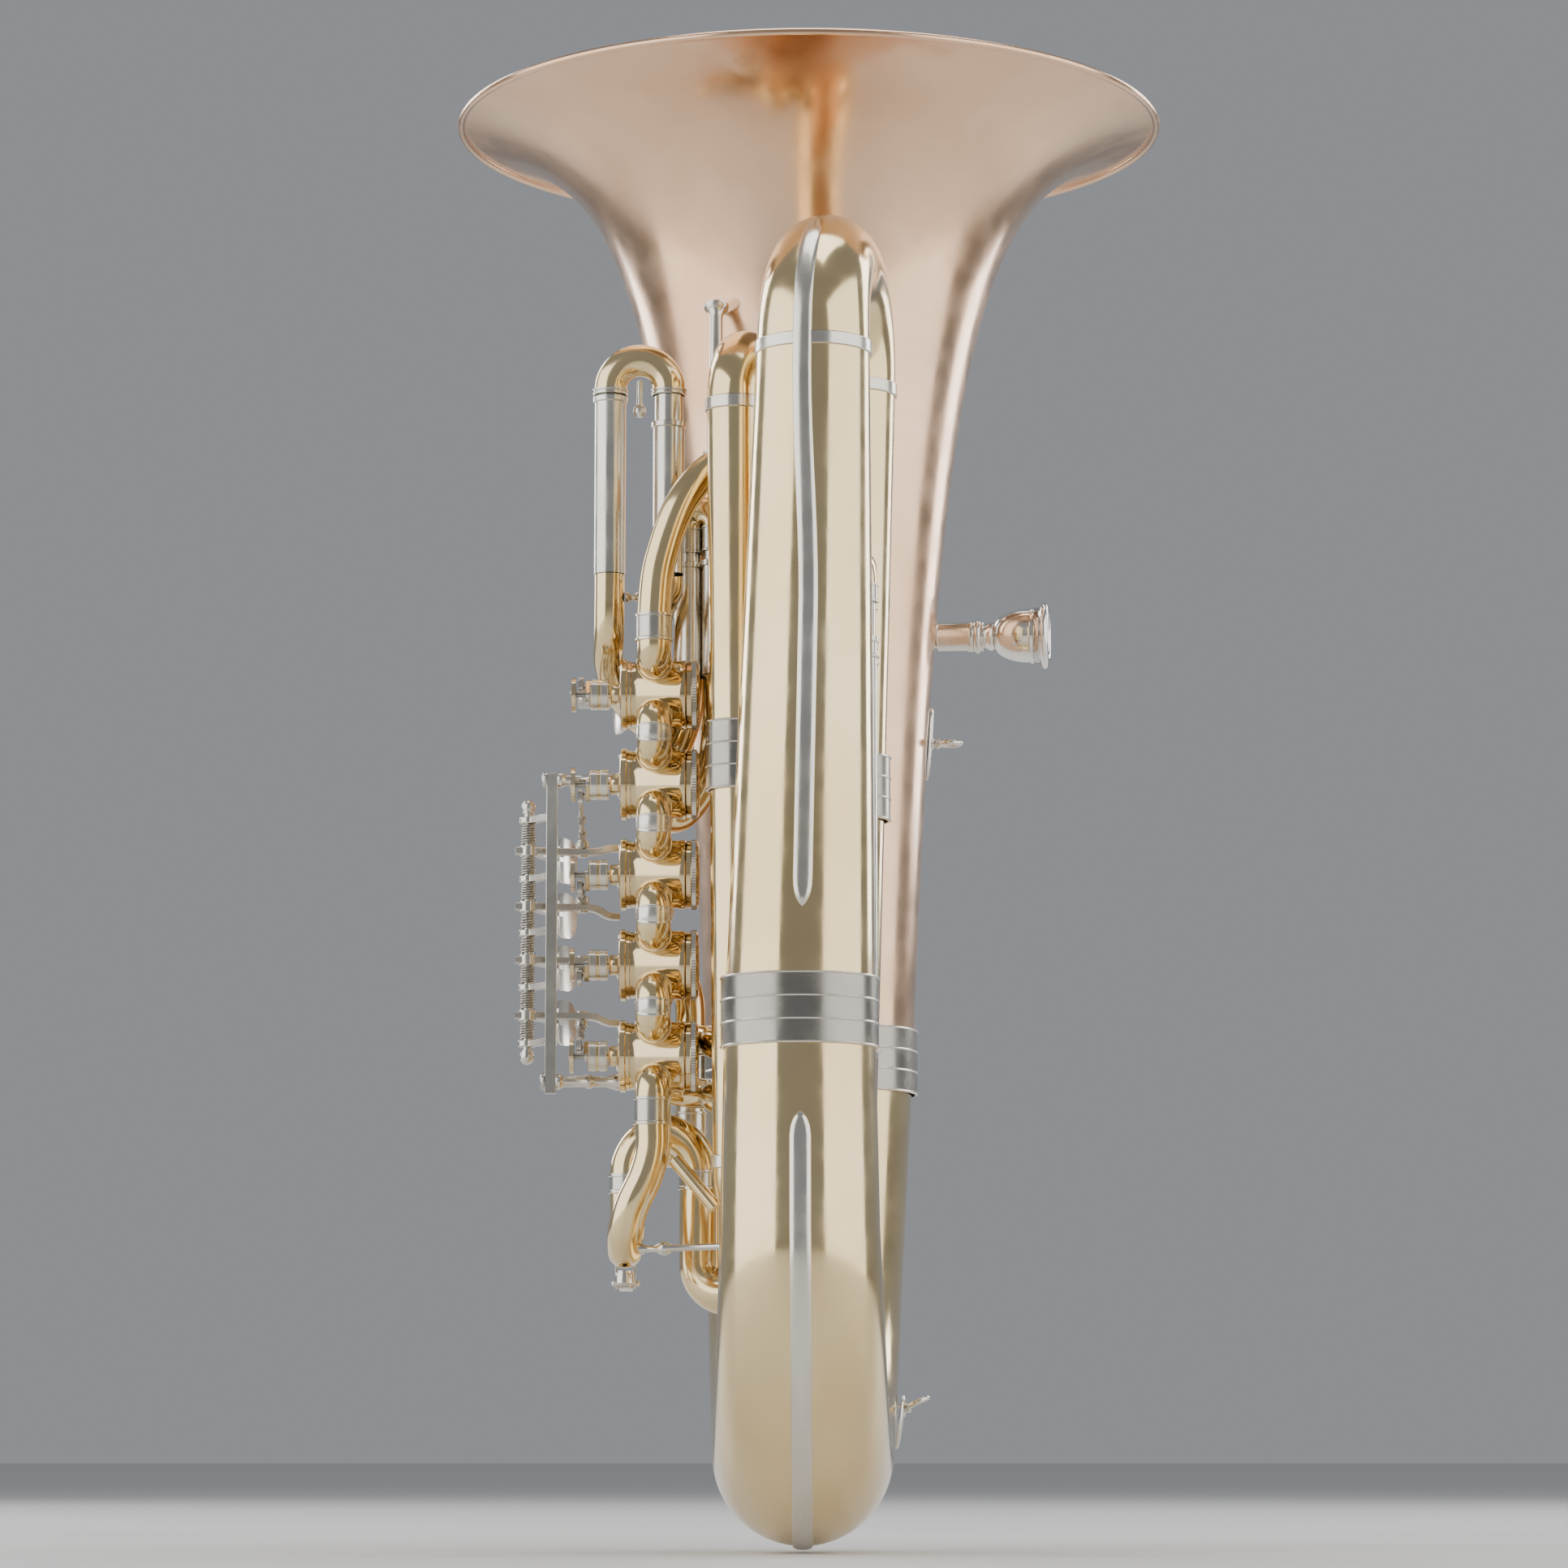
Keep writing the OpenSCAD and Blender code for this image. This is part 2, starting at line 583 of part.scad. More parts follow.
module eye_solid(side, r, half) {
    along_x(-half) {
        cylinder(h = 2 * half, r = r);
        translate([-side * eye_slot, 0, 0]) cylinder(h = 2 * half, r = r);
        translate([min(0, -side * eye_slot), -r, 0]) cube([eye_slot, 2 * r, 2 * half]);
    }
}
eye_slot = 2;
crank_ball_r = 1.5;
eye_r = 2.75;

// Thumb lever for the fifth valve, on its own pin
thumb_z = 386.7;
module thumb_lever() {
    color("silver")
        translate([thumb_x, thumb_y, thumb_z]) {
            difference() {
                union() {
                    translate([0, 0, -lever_t / 2]) cylinder(h = lever_t + 1, r = hub_r);
                    rotate([0, 0, 180 - lever_rest]) translate([0, -strip_h / 2, -lever_t / 2])
                        cube([link_arm + 3, strip_h, lever_t]);
                    rotate([0, 0, 108]) translate([0, -2.5, -lever_t / 2]) cube([27, 5, lever_t]);
                    rotate([0, 0, 108]) translate([34, 0, -2.5]) rotate([90, 0, 0]) intersection() {
                        cylinder(h = 2, r = 12, center = true);
                        cube([20, 16, 4], center = true);
                    }
                }
                cylinder(h = 20, r = thumb_pin_r + fit_gap, center = true);
            }
            rotate([0, 0, 180 - lever_rest]) translate([link_arm, 0, 0])
                cylinder(h = lever_t / 2 + 3.6, r = stud_r);
        }
}
thumb_pin_r = 1.5;
module thumb_lever_mount() {
    knee = [-66, -20, valve_top_z];
    color("silver") {
        rod([-66, far_y - 1.2, valve_top_z], knee, 1.6);
        translate(knee) sphere(r = 2, $fn = 24);
        rod(knee, [thumb_x, thumb_y, valve_top_z], 1.6);
        translate([thumb_x, thumb_y, valve_top_z - 4])
            cylinder(h = thumb_z - lever_t / 2 - 0.15 - valve_top_z + 4, r = 3.4);
        translate([thumb_x, thumb_y, valve_top_z]) cylinder(h = 8, r = thumb_pin_r);
    }
}

// Lever carriage
module hinge_rod() {
    color("silver") translate([lever_x, lever_y, 0]) {
        translate([0, 0, 221]) cylinder(h = 114, r = hinge_r);
        for (z = [220.5, 335.5]) translate([0, 0, z]) sphere(r = 3.3, $fn = 24);
    }
}
module carriage_bar() {
    reach = norm([lever_x - bar_x, lever_y - bar_y]);
    turn = atan2(lever_y - bar_y, lever_x - bar_x);
    color("silver") difference() {
        union() {
            translate([bar_x - 2.5, bar_y - 3, bar_bottom_z]) cube([5, 6, bar_top_z - bar_bottom_z]);
            for (z = bracket_zs) {
                translate([bar_x, bar_y, z - 1.5]) rotate([0, 0, turn]) translate([0, -2, 0])
                    cube([reach, 4, 3]);
                translate([lever_x, lever_y, z - 1.5]) cylinder(h = 3, r = 4.2);
            }
        }
        translate([lever_x, lever_y, bar_bottom_z]) cylinder(h = 160, r = hinge_r + 0.02);
    }
}
module carriage_posts() {
    color("silver")
        for (z = post_zs) translate([0, bar_y, z]) {
            along_x(bar_x + 2.52) cylinder(h = casing_front_x - flange_t - 0.04 - bar_x - 2.5, r = 2.6);
            along_x(bar_x + 5) cylinder(h = 3, r = 3.4);
            along_x(casing_front_x - flange_t - 4) cylinder(h = 2.5, r = 3.4);
        }
}
module carriage_screws() {
    color("silver")
        for (z = post_zs) translate([0, bar_y, z]) difference() {
            along_x(bar_x - 2.52 - 2.4) cylinder(h = 2.4, r = 3.9);
            translate([bar_x - 5.2, -5, -0.5]) cube([1, 10, 1]);
        }
}

// Tuning slides
slide_fit = 0.06;
inner_r = 6.5;
sleeve_r = 7.2;
module slide_u(a, b, z, up, r, leg, collar) {
    c = (a + b) / 2;
    half = norm(b - a) / 2;
    translate([c[0], c[1], z]) rotate([0, 0, atan2(b[1] - a[1], b[0] - a[0])])
        mirror([0, 0, up > 0 ? 0 : 1]) {
            rotate([90, 0, 0]) rotate_extrude(angle = 180, $fn = 64) translate([half, 0]) difference() {
                circle(r = r, $fn = 32);
                circle(r = inner_r - 0.1, $fn = 32);
            }
            for (s = [-1, 1]) translate([s * half, 0, 0]) {
                translate([0, 0, -leg]) ring_sleeve(inner_r - tube_wall, inner_r, leg + 0.5);
                translate([0, 0, -collar]) ring_sleeve(inner_r - 0.1, r + 0.5, collar - 0.1);
            }
        }
}
module slide_1() {
    color("gold") slide_u([-55, -36], [-42, -44], 464, 1, 7, 62, 12);
}
slide_2_y = -14;
module slide_2() {
    color("gold")
        translate([valve_x, slide_2_y, valve_z(2)]) rotate([-90, 0, 0])
            slide_u([0, -port_z], [0, port_z], 0, 1, 7, 24, 6);
}
module slide_3() {
    color("gold") slide_u([-72, -14], [-55, -12], 187.5, -1, 7, 38, 10);
}
module slide_4() {
    color("gold") slide_u([22, -127], [22, -108], 421.8, 1, 7.2, 160, 8.1);
}
slide_5_left = [-91.2, -58];
slide_5_right = [-64.5, -58];
module slide_5() {
    color("gold") {
        slide_u(slide_5_left, slide_5_right, 525, 1, 7.4, 78, 3);
        translate([(slide_5_left[0] + slide_5_right[0]) / 2, -58, 515]) {
            cylinder(h = 12, r = 1.6);
            sphere(r = 3, $fn = 24);
        }
    }
}
module sleeve(x, y, z1, z2, ring_at) {
    translate([x, y, z1]) ring_sleeve(inner_r + slide_fit, sleeve_r, z2 - z1);
    translate([x, y, ring_at]) ring_sleeve(inner_r + slide_fit, sleeve_r + 0.8, 3);
}
module slide_sleeves() {
    color("silver") {
        for (p = [[-55, -36], [-42, -44]]) sleeve(p[0], p[1], 395, 448, 445);
        for (p = [[-72, -14], [-55, -12]]) sleeve(p[0], p[1], 201, 229, 201);
        for (p = [[22, -127], [22, -108]]) sleeve(p[0], p[1], 213, 398.6, 395.6);
        for (p = [[22, -127], [22, -108]]) translate([p[0], p[1], 388]) ring_sleeve(inner_r + 0.5, 8, 3);
        sleeve(slide_5_left[0], slide_5_left[1], 439, 521.5, 518.5);
        sleeve(slide_5_right[0], slide_5_right[1], 439, 509.6, 506.6);
        for (s = [-1, 1]) translate([valve_x, far_y + 0.1, valve_z(2) + s * port_z]) rotate([-90, 0, 0]) {
            ring_sleeve(inner_r + slide_fit, sleeve_r, 22);
            translate([0, 0, 19]) ring_sleeve(inner_r + slide_fit, sleeve_r + 0.8, 3);
        }
    }
}
module valve_tubing() {
    up5 = valve_z(5) + port_z;
    low5 = valve_z(5) - port_z;
    up1 = valve_z(1) + port_z;
    low1 = valve_z(1) - port_z;
    up3 = valve_z(3) + port_z;
    low3 = valve_z(3) - port_z;
    up4 = valve_z(4) + port_z;
    low4 = valve_z(4) - port_z;
    start = far_y + 0.1;
    color("gold") {
        valve_tube([[valve_x, start, up5], [-70, -36, 396.5], [-70.5, -31, 405], [-70.5, -36, 417],
            [-68, -48, 426], [-64.8, -56, 432], [-64.5, -58, 438.6]]);
        valve_tube([[valve_x, start, low5], [-71, -37, 371], [-78, -29, 377], [-88, -31, 390],
            [-92, -42, 401], [-91.5, -54, 411], [-91.2, -58, 424], [-91.2, -58, 438.6]]);
        valve_tube([[valve_x, start, up1], [-69, -35, 354.5], [-62, -29, 362], [-56, -33, 378],
            [-55, -36, 394.6]]);
        valve_tube([[valve_x, start, low1], [-69, -35, 330], [-58, -28, 333], [-46, -34, 350],
            [-42, -43, 375], [-42, -44, 394.6]]);
        valve_tube([[valve_x, start, low3], [-70.5, -36, 247], [-72, -19, 243], [-72, -14, 229.4]]);
        valve_tube([[valve_x, start, up3], [-69, -35, 272], [-62, -24, 267], [-55.5, -14, 250],
            [-55, -12, 229.4]]);
        valve_tube([[valve_x, start, up4], [-68, -36, 231], [-55, -32, 229], [-44, -45, 227],
            [-41.5, -62.2, 224], [-28, -78.3, 219], [-18, -82, 214], [-9, -90, 208], [3, -103, 200],
            [14, -108, 196], [21.5, -108, 203], [22, -108, 212.6]]);
        valve_tube([[valve_x, start, low4], [-68, -36, 206.5], [-55, -32, 205], [-44, -45, 203],
            [-41.4, -62.2, 200], [-28, -78.6, 195], [-18, -82, 190], [-9, -91, 184], [3, -106, 180],
            [14, -120, 181], [21, -127, 192], [22, -127, 212.6]]);
    }
}
module valve_tube(points) {
    spline_tube(points, sleeve_r - 0.3, sleeve_r - 0.3, tube_wall, 10, 2);
}

// Small fittings
strap_z = 374;
strap_ring_r = 5.1;
strap_wire_r = 1.25;
module strap_rings() {
    color("silver") {
        lean = atan((bell_r(strap_z + 17) - bell_r(strap_z - 17)) / 34);
        translate([bell_r(strap_z) + 0.25, bell_y, strap_z]) rotate([0, lean, 0]) strap_plate(11.5);
        translate([0, bell_y, strap_z]) {
            along_x(bell_r(strap_z) + 0.5) cylinder(h = 4.7, r = 2.4);
            translate([bell_r(strap_z) + 5.2 + strap_ring_r, 0, 0]) strap_ring();
        }
        translate([40.6, low_ring_y, 56]) rotate([0, 8, 0]) strap_plate(7);
        translate([41, low_ring_y, 62]) rotate([0, -25, 0]) {
            along_x(0) cylinder(h = 3.7, r = 2.4);
            translate([3.8 + strap_ring_r, 0, 0]) strap_ring();
        }
    }
}
low_ring_y = 0;
module strap_plate(half) {
    for (s = [-1, 1]) translate([0, 0, s * half]) along_x(0) cylinder(h = 1.6, r = 6);
    translate([0, -6, -half]) cube([1.6, 12, 2 * half]);
}
module strap_ring() {
    rotate_extrude($fn = 48) translate([strap_ring_r, 0]) circle(r = strap_wire_r, $fn = 16);
}
module stays() {
    color("gold") {
        rod([-43, -74.85, 491.5], [-43, bell_y - 76, 566], 3);
        rod([-60, -90, 171], [-42, -95.4, 149.3], 3.2);
        along([-75.1, -79.35, 132], [-29, -96.8, 132.8]) {
            cylinder(h = 49.2, r = 1.6);
            translate([0, 0, 8]) cylinder(h = 4, r = 3);
        }
        rod([slide_5_left[0] + 7.4, -58, 428.5], [slide_5_right[0] - 7.4, -58, 428.5], 1.6);
    }
}

// Water key, hung under the outlet tube's bow
key_x = -82.5;
key_y = -70;
key_hinge_y = -57;
key_hinge_z = 117.5;
key_pin_r = 1;
module water_key() {
    color("silver")
        translate([key_x, 0, 0]) {
            translate([0, key_y, 116.6]) cylinder(h = 6.2, r = 4.2);
            translate([-1.5, key_y, 115.2]) cube([3, key_hinge_y - key_y - key_pin_r - 0.4, 1.6]);
            translate([0, key_hinge_y, key_hinge_z]) rotate([0, 90, 0]) difference() {
                cylinder(h = 5, r = 2.4, center = true);
                cylinder(h = 8, r = key_pin_r + fit_gap, center = true);
            }
            translate([-3, key_hinge_y + 2, 115.2]) cube([6, 12, 1.6]);
        }
}
module water_key_mount() {
    color("silver")
        translate([key_x, key_hinge_y, 0]) {
            for (s = [-4, 4]) translate([s - 0.6, 0, 0]) rotate([90, 0, 90]) linear_extrude(1.2)
                polygon([[-2.2, key_hinge_z - 2.2], [2.2, key_hinge_z - 2.2], [2.2, 128.6], [-2.2, 126.3]]);
            translate([0, 0, key_hinge_z]) rotate([0, 90, 0]) cylinder(h = 10.8, r = key_pin_r, center = true);
        }
}

bell();
rim_wire();
bell_ferrule();
bottom_bow();
bow_ferrule();
outer_branch();
top_bow();
player_branch();
return_bow();
front_branch();
front_top_bow();
inner_branch();
inner_bow();
branch_ferrules();
outlet_tube();
tube_ferrules();
leadpipe();
mouthpiece_receiver();
mouthpiece();
guard_strips();
casing(1);  // casing_1
casing(2);  // casing_2
casing(3);  // casing_3
casing(4);  // casing_4
casing(5);  // casing_5
rotor(1);  // rotor_1
rotor(2);  // rotor_2
rotor(3);  // rotor_3
rotor(4);  // rotor_4
rotor(5);  // rotor_5
valve_caps();
crooks();
crook_ferrules();
lever(1);  // lever_1
lever(2);  // lever_2
lever(3);  // lever_3
lever(4);  // lever_4
thumb_lever();
link(1);  // link_1
link(2);  // link_2
link(3);  // link_3
link(4);  // link_4
link(5);  // link_5
lever_springs();
hinge_rod();
carriage_bar();
carriage_posts();
carriage_screws();
slide_1();
slide_2();
slide_3();
slide_4();
slide_5();
slide_sleeves();
valve_tubing();
strap_rings();
stays();
water_key();
water_key_mount();
thumb_lever_mount();
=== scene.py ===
import math

import bmesh
import bpy
from mathutils import Matrix, Vector


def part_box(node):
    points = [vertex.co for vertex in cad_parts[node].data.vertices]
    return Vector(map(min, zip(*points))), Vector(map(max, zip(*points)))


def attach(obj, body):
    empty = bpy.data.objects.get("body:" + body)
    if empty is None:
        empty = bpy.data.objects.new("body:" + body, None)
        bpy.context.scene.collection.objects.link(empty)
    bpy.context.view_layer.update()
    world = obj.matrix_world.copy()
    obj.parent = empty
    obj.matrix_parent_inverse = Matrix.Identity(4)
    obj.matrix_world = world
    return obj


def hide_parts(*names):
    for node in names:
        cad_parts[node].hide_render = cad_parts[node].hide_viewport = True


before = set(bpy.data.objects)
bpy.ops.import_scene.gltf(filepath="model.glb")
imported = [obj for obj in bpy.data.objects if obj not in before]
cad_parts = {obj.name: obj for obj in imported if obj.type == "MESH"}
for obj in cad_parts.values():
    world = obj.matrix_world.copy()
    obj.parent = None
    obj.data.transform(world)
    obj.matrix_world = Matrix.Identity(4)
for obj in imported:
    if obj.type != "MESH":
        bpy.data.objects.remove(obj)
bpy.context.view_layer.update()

# Lengths of the horn are in millimetres, as in part.scad; pieces are scaled to metres when they are made.
# X points to the player's side, Y from the branches to the bell, Z up.
MM = 0.001
HORN = "horn"
X, Y, Z = Vector((1, 0, 0)), Vector((0, 1, 0)), Vector((0, 0, 1))


def box_mm(node):
    low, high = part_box(node)
    return Vector(low) / MM, Vector(high) / MM


# ---------------------------------------------------------------- places and sizes
# Bell and wide tubing. A branch is named for its place; its foot and top are its lower and upper ends.
RIM_TOP = box_mm("rim_wire")[1].z
RIM_R = box_mm("rim_wire")[1].x
BELL_Y = (box_mm("rim_wire")[0].y + box_mm("rim_wire")[1].y) / 2
BELL_FOOT = box_mm("bell")[0].z
BRANCH_Y = BELL_Y - 190
BOW_Z = 137
BOW_BEND_R = 95
LEG_X, LEG_TOP_X = -5, 1
BRANCH_FOOT, BRANCH_TOP = 229, 523
BRANCH_FOOT_R, BRANCH_TOP_R = 32.3, 24.8
BOW_IN_R, BOW_OUT_R = 34.2, 46
BOW_SHIFT = 3
PLAYER_TOP, PLAYER_FOOT = (18.3, -76), (14.5, -79)
PLAYER_TOP_R, PLAYER_FOOT_R = 20.5, 14.3
FRONT_FOOT, FRONT_TOP = (-31, -101), (-33, -101)
FRONT_FOOT_R, FRONT_TOP_R = 12.2, 13.4
RETURN_Z, FRONT_TOP_Z = 166, 511
INNER, INNER_START = (-24, -56), (-50, -44)
INNER_FOOT_R, INNER_TOP_R, INNER_START_R = 11, 12, 8.9
INNER_BOW_Z, OUTLET_END_Z = 128, 160
# Valve row. Ports leave each casing to both sides, PORT_Z above and below its axis.
VALVE_Y = (box_mm("rotor_1")[0].y + box_mm("rotor_1")[1].y) / 2
VALVE_Z = {n: (box_mm(f"rotor_{n}")[0].z + box_mm(f"rotor_{n}")[1].z) / 2 for n in range(1, 6)}
VALVE_X = -70
PORT_Z = 12.25
PORT_REACH = 17
CROOK_R, CROOK_TUBE_R = 8.25, 7.75
NEAR_Y, FAR_Y = VALVE_Y - PORT_REACH, VALVE_Y + PORT_REACH
CASING_FACE, CASING_BACK = -82.6 - 3, -56
# A crank ball stands this far from its rotor's axis along Y and along Z.
CRANK_BALL = 6 * math.sqrt(0.5)
CRANK_BALL_X = -103.4
# Levers and their carriage. A link's eye turns on the lever's stud, EYE_RISE above or below the lever.
HINGE = Vector((-128.5, -34, 0))
LEVER_Z = {1: 315, 2: 289.5, 3: 265, 4: 239.7}
# How far the end of each lever steps up or down to meet its link.
LEVER_END_STEP = {1: 2, 2: -4, 3: 0, 4: -3}
BRACKET_Z = [329, 302, 277.3, 252.4, 226.8]
LINK_ARM = 24.98
EYE_RISE = 3.2
# Directions of the levers' arms and finger plates at rest.
REST = math.radians(10)
FINGER, THUMB_FINGER = math.radians(70), math.radians(108)
BAR_X, BAR_Y = -117, -49
POST_Z = (345.6, 208.5)
THUMB = Vector((-79.3, -12, 386.7))
# Slides. Inner legs slide in outer sleeves.
LEG_IN_R, LEG_OUT_R = 5.9, 6.5
SLEEVE_IN_R, SLEEVE_OUT_R = 6.56, 7.2
TUBING_R = 6.9


# ---------------------------------------------------------------- materials
def ramp(nodes, links, value, low, high, at_low=0.35, at_high=0.65):
    node = nodes.new("ShaderNodeMapRange")
    node.inputs["From Min"].default_value = at_low
    node.inputs["From Max"].default_value = at_high
    node.inputs["To Min"].default_value = low
    node.inputs["To Max"].default_value = high
    links.new(value, node.inputs["Value"])
    return node.outputs["Result"]


def noise(nodes, links, coords, scale, detail=3.0, stretch=(1, 1, 1)):
    mapping = nodes.new("ShaderNodeMapping")
    mapping.inputs["Scale"].default_value = stretch
    links.new(coords, mapping.inputs["Vector"])
    node = nodes.new("ShaderNodeTexNoise")
    node.inputs["Scale"].default_value = scale
    node.inputs["Detail"].default_value = detail
    links.new(mapping.outputs["Vector"], node.inputs["Vector"])
    return node.outputs["Fac"]


def metal(name, bright, dull, rough=(0.08, 0.2), lacquer=0.4, dents=0.10, grain=0.03):
    """Metal with uneven tarnish, soft dents from hand work, fine polishing marks and painted shade that
    darkens its hollow corners.

    rough is its lowest and highest roughness, lacquer its coat; dents and grain are strengths of the bumps.
    """
    mat = bpy.data.materials.new(name)
    mat.use_nodes = True
    nodes, links = mat.node_tree.nodes, mat.node_tree.links
    shader = nodes["Principled BSDF"]
    coords = nodes.new("ShaderNodeTexCoord").outputs["Object"]

    tarnish = noise(nodes, links, coords, 14, 5)
    mix = nodes.new("ShaderNodeMix")
    mix.data_type = "RGBA"
    mix.inputs["A"].default_value = (*bright, 1)
    mix.inputs["B"].default_value = (*dull, 1)
    links.new(ramp(nodes, links, tarnish, 0.0, 0.75), mix.inputs["Factor"])

    # Painted shade: hollow corners, found by low pointiness, are darkened towards 0.35 of the dull colour.
    geometry = nodes.new("ShaderNodeNewGeometry")
    painted_corner_shade = nodes.new("ShaderNodeMix")
    painted_corner_shade.data_type = "RGBA"
    painted_corner_shade.inputs["A"].default_value = (*(c * 0.35 for c in dull), 1)
    links.new(mix.outputs["Result"], painted_corner_shade.inputs["B"])
    links.new(ramp(nodes, links, geometry.outputs["Pointiness"], 0.0, 1.0, 0.42, 0.485),
              painted_corner_shade.inputs["Factor"])
    links.new(painted_corner_shade.outputs["Result"], shader.inputs["Base Color"])

    smudge = noise(nodes, links, coords, 55, 6)
    links.new(ramp(nodes, links, smudge, *rough), shader.inputs["Roughness"])

    wave = nodes.new("ShaderNodeBump")
    wave.inputs["Strength"].default_value = dents
    wave.inputs["Distance"].default_value = 0.002
    links.new(noise(nodes, links, coords, 32, 1.5), wave.inputs["Height"])
    scratch = nodes.new("ShaderNodeBump")
    scratch.inputs["Strength"].default_value = grain
    scratch.inputs["Distance"].default_value = 0.0002
    links.new(noise(nodes, links, coords, 900, 2, (1, 1, 0.08)), scratch.inputs["Height"])
    links.new(wave.outputs["Normal"], scratch.inputs["Normal"])
    links.new(scratch.outputs["Normal"], shader.inputs["Normal"])

    shader.inputs["Metallic"].default_value = 1.0
    shader.inputs["Coat Weight"].default_value = lacquer
    shader.inputs["Coat Roughness"].default_value = 0.06
    return mat


GOLD_BRASS = metal("gold_brass_lacquer", (0.86, 0.56, 0.36), (0.72, 0.43, 0.25), (0.16, 0.26))
BRASS = metal("yellow_brass_lacquer", (0.87, 0.69, 0.38), (0.77, 0.57, 0.28), (0.10, 0.20))
TURNED = metal("turned_brass", (0.84, 0.67, 0.39), (0.66, 0.48, 0.24), (0.07, 0.16), 0.3, 0.03, 0.06)
NICKEL = metal("nickel_silver", (0.78, 0.74, 0.66), (0.62, 0.57, 0.48), (0.16, 0.3), 0.25, 0.04, 0.05)
SILVER = metal("silver_plate", (0.90, 0.88, 0.84), (0.78, 0.74, 0.68), (0.05, 0.14), 0.0, 0.03, 0.03)
STEEL = metal("spring_steel", (0.60, 0.58, 0.54), (0.40, 0.37, 0.33), (0.2, 0.35), 0.0, 0.02, 0.10)


# ---------------------------------------------------------------- mesh tools
def spline(points, steps=8):
    pts = [Vector(p) for p in points]
    out = []
    for i in range(len(pts) - 1):
        a, b, c, d = pts[max(i - 1, 0)], pts[i], pts[i + 1], pts[min(i + 2, len(pts) - 1)]
        for k in range(steps):
            t = k / steps
            out.append(0.5 * (2 * b + (c - a) * t + (2 * a - 5 * b + 4 * c - d) * t ** 2
                              + (3 * b - a - 3 * c + d) * t ** 3))
    return out + [pts[-1]]


def lerp(a, b, t):
    return a + (b - a) * t


def tapered(path, first, last):
    return [lerp(first, last, i / (len(path) - 1)) for i in range(len(path))]


def half_bend(a, b, z, up, steps=32):
    """Half a turn between two upright legs at a and b; up = 1 arches over, -1 hangs under."""
    a, b = Vector((*a, 0)), Vector((*b, 0))
    middle, half = (a + b) / 2, (a - b) / 2
    turns = [math.pi * i / steps for i in range(steps + 1)]
    return [middle + half * math.cos(w) + Z * (z + up * half.length * math.sin(w)) for w in turns]


def tangents(path):
    last = len(path) - 1
    found = [(path[min(i + 1, last)] - path[max(i - 1, 0)]).normalized() for i in range(last + 1)]
    if last > 1:
        found[0] = (4 * path[1] - 3 * path[0] - path[2]).normalized()
        found[-1] = (3 * path[-1] - 4 * path[-2] + path[-3]).normalized()
    return found


def carried(path):
    """A side direction at each point of a path, carried along it without twist."""
    sides = []
    for t in tangents(path):
        start = sides[-1] if sides else t.cross(X if abs(t.z) > 0.9 else Z)
        sides.append((start - start.dot(t) * t).normalized())
    return sides


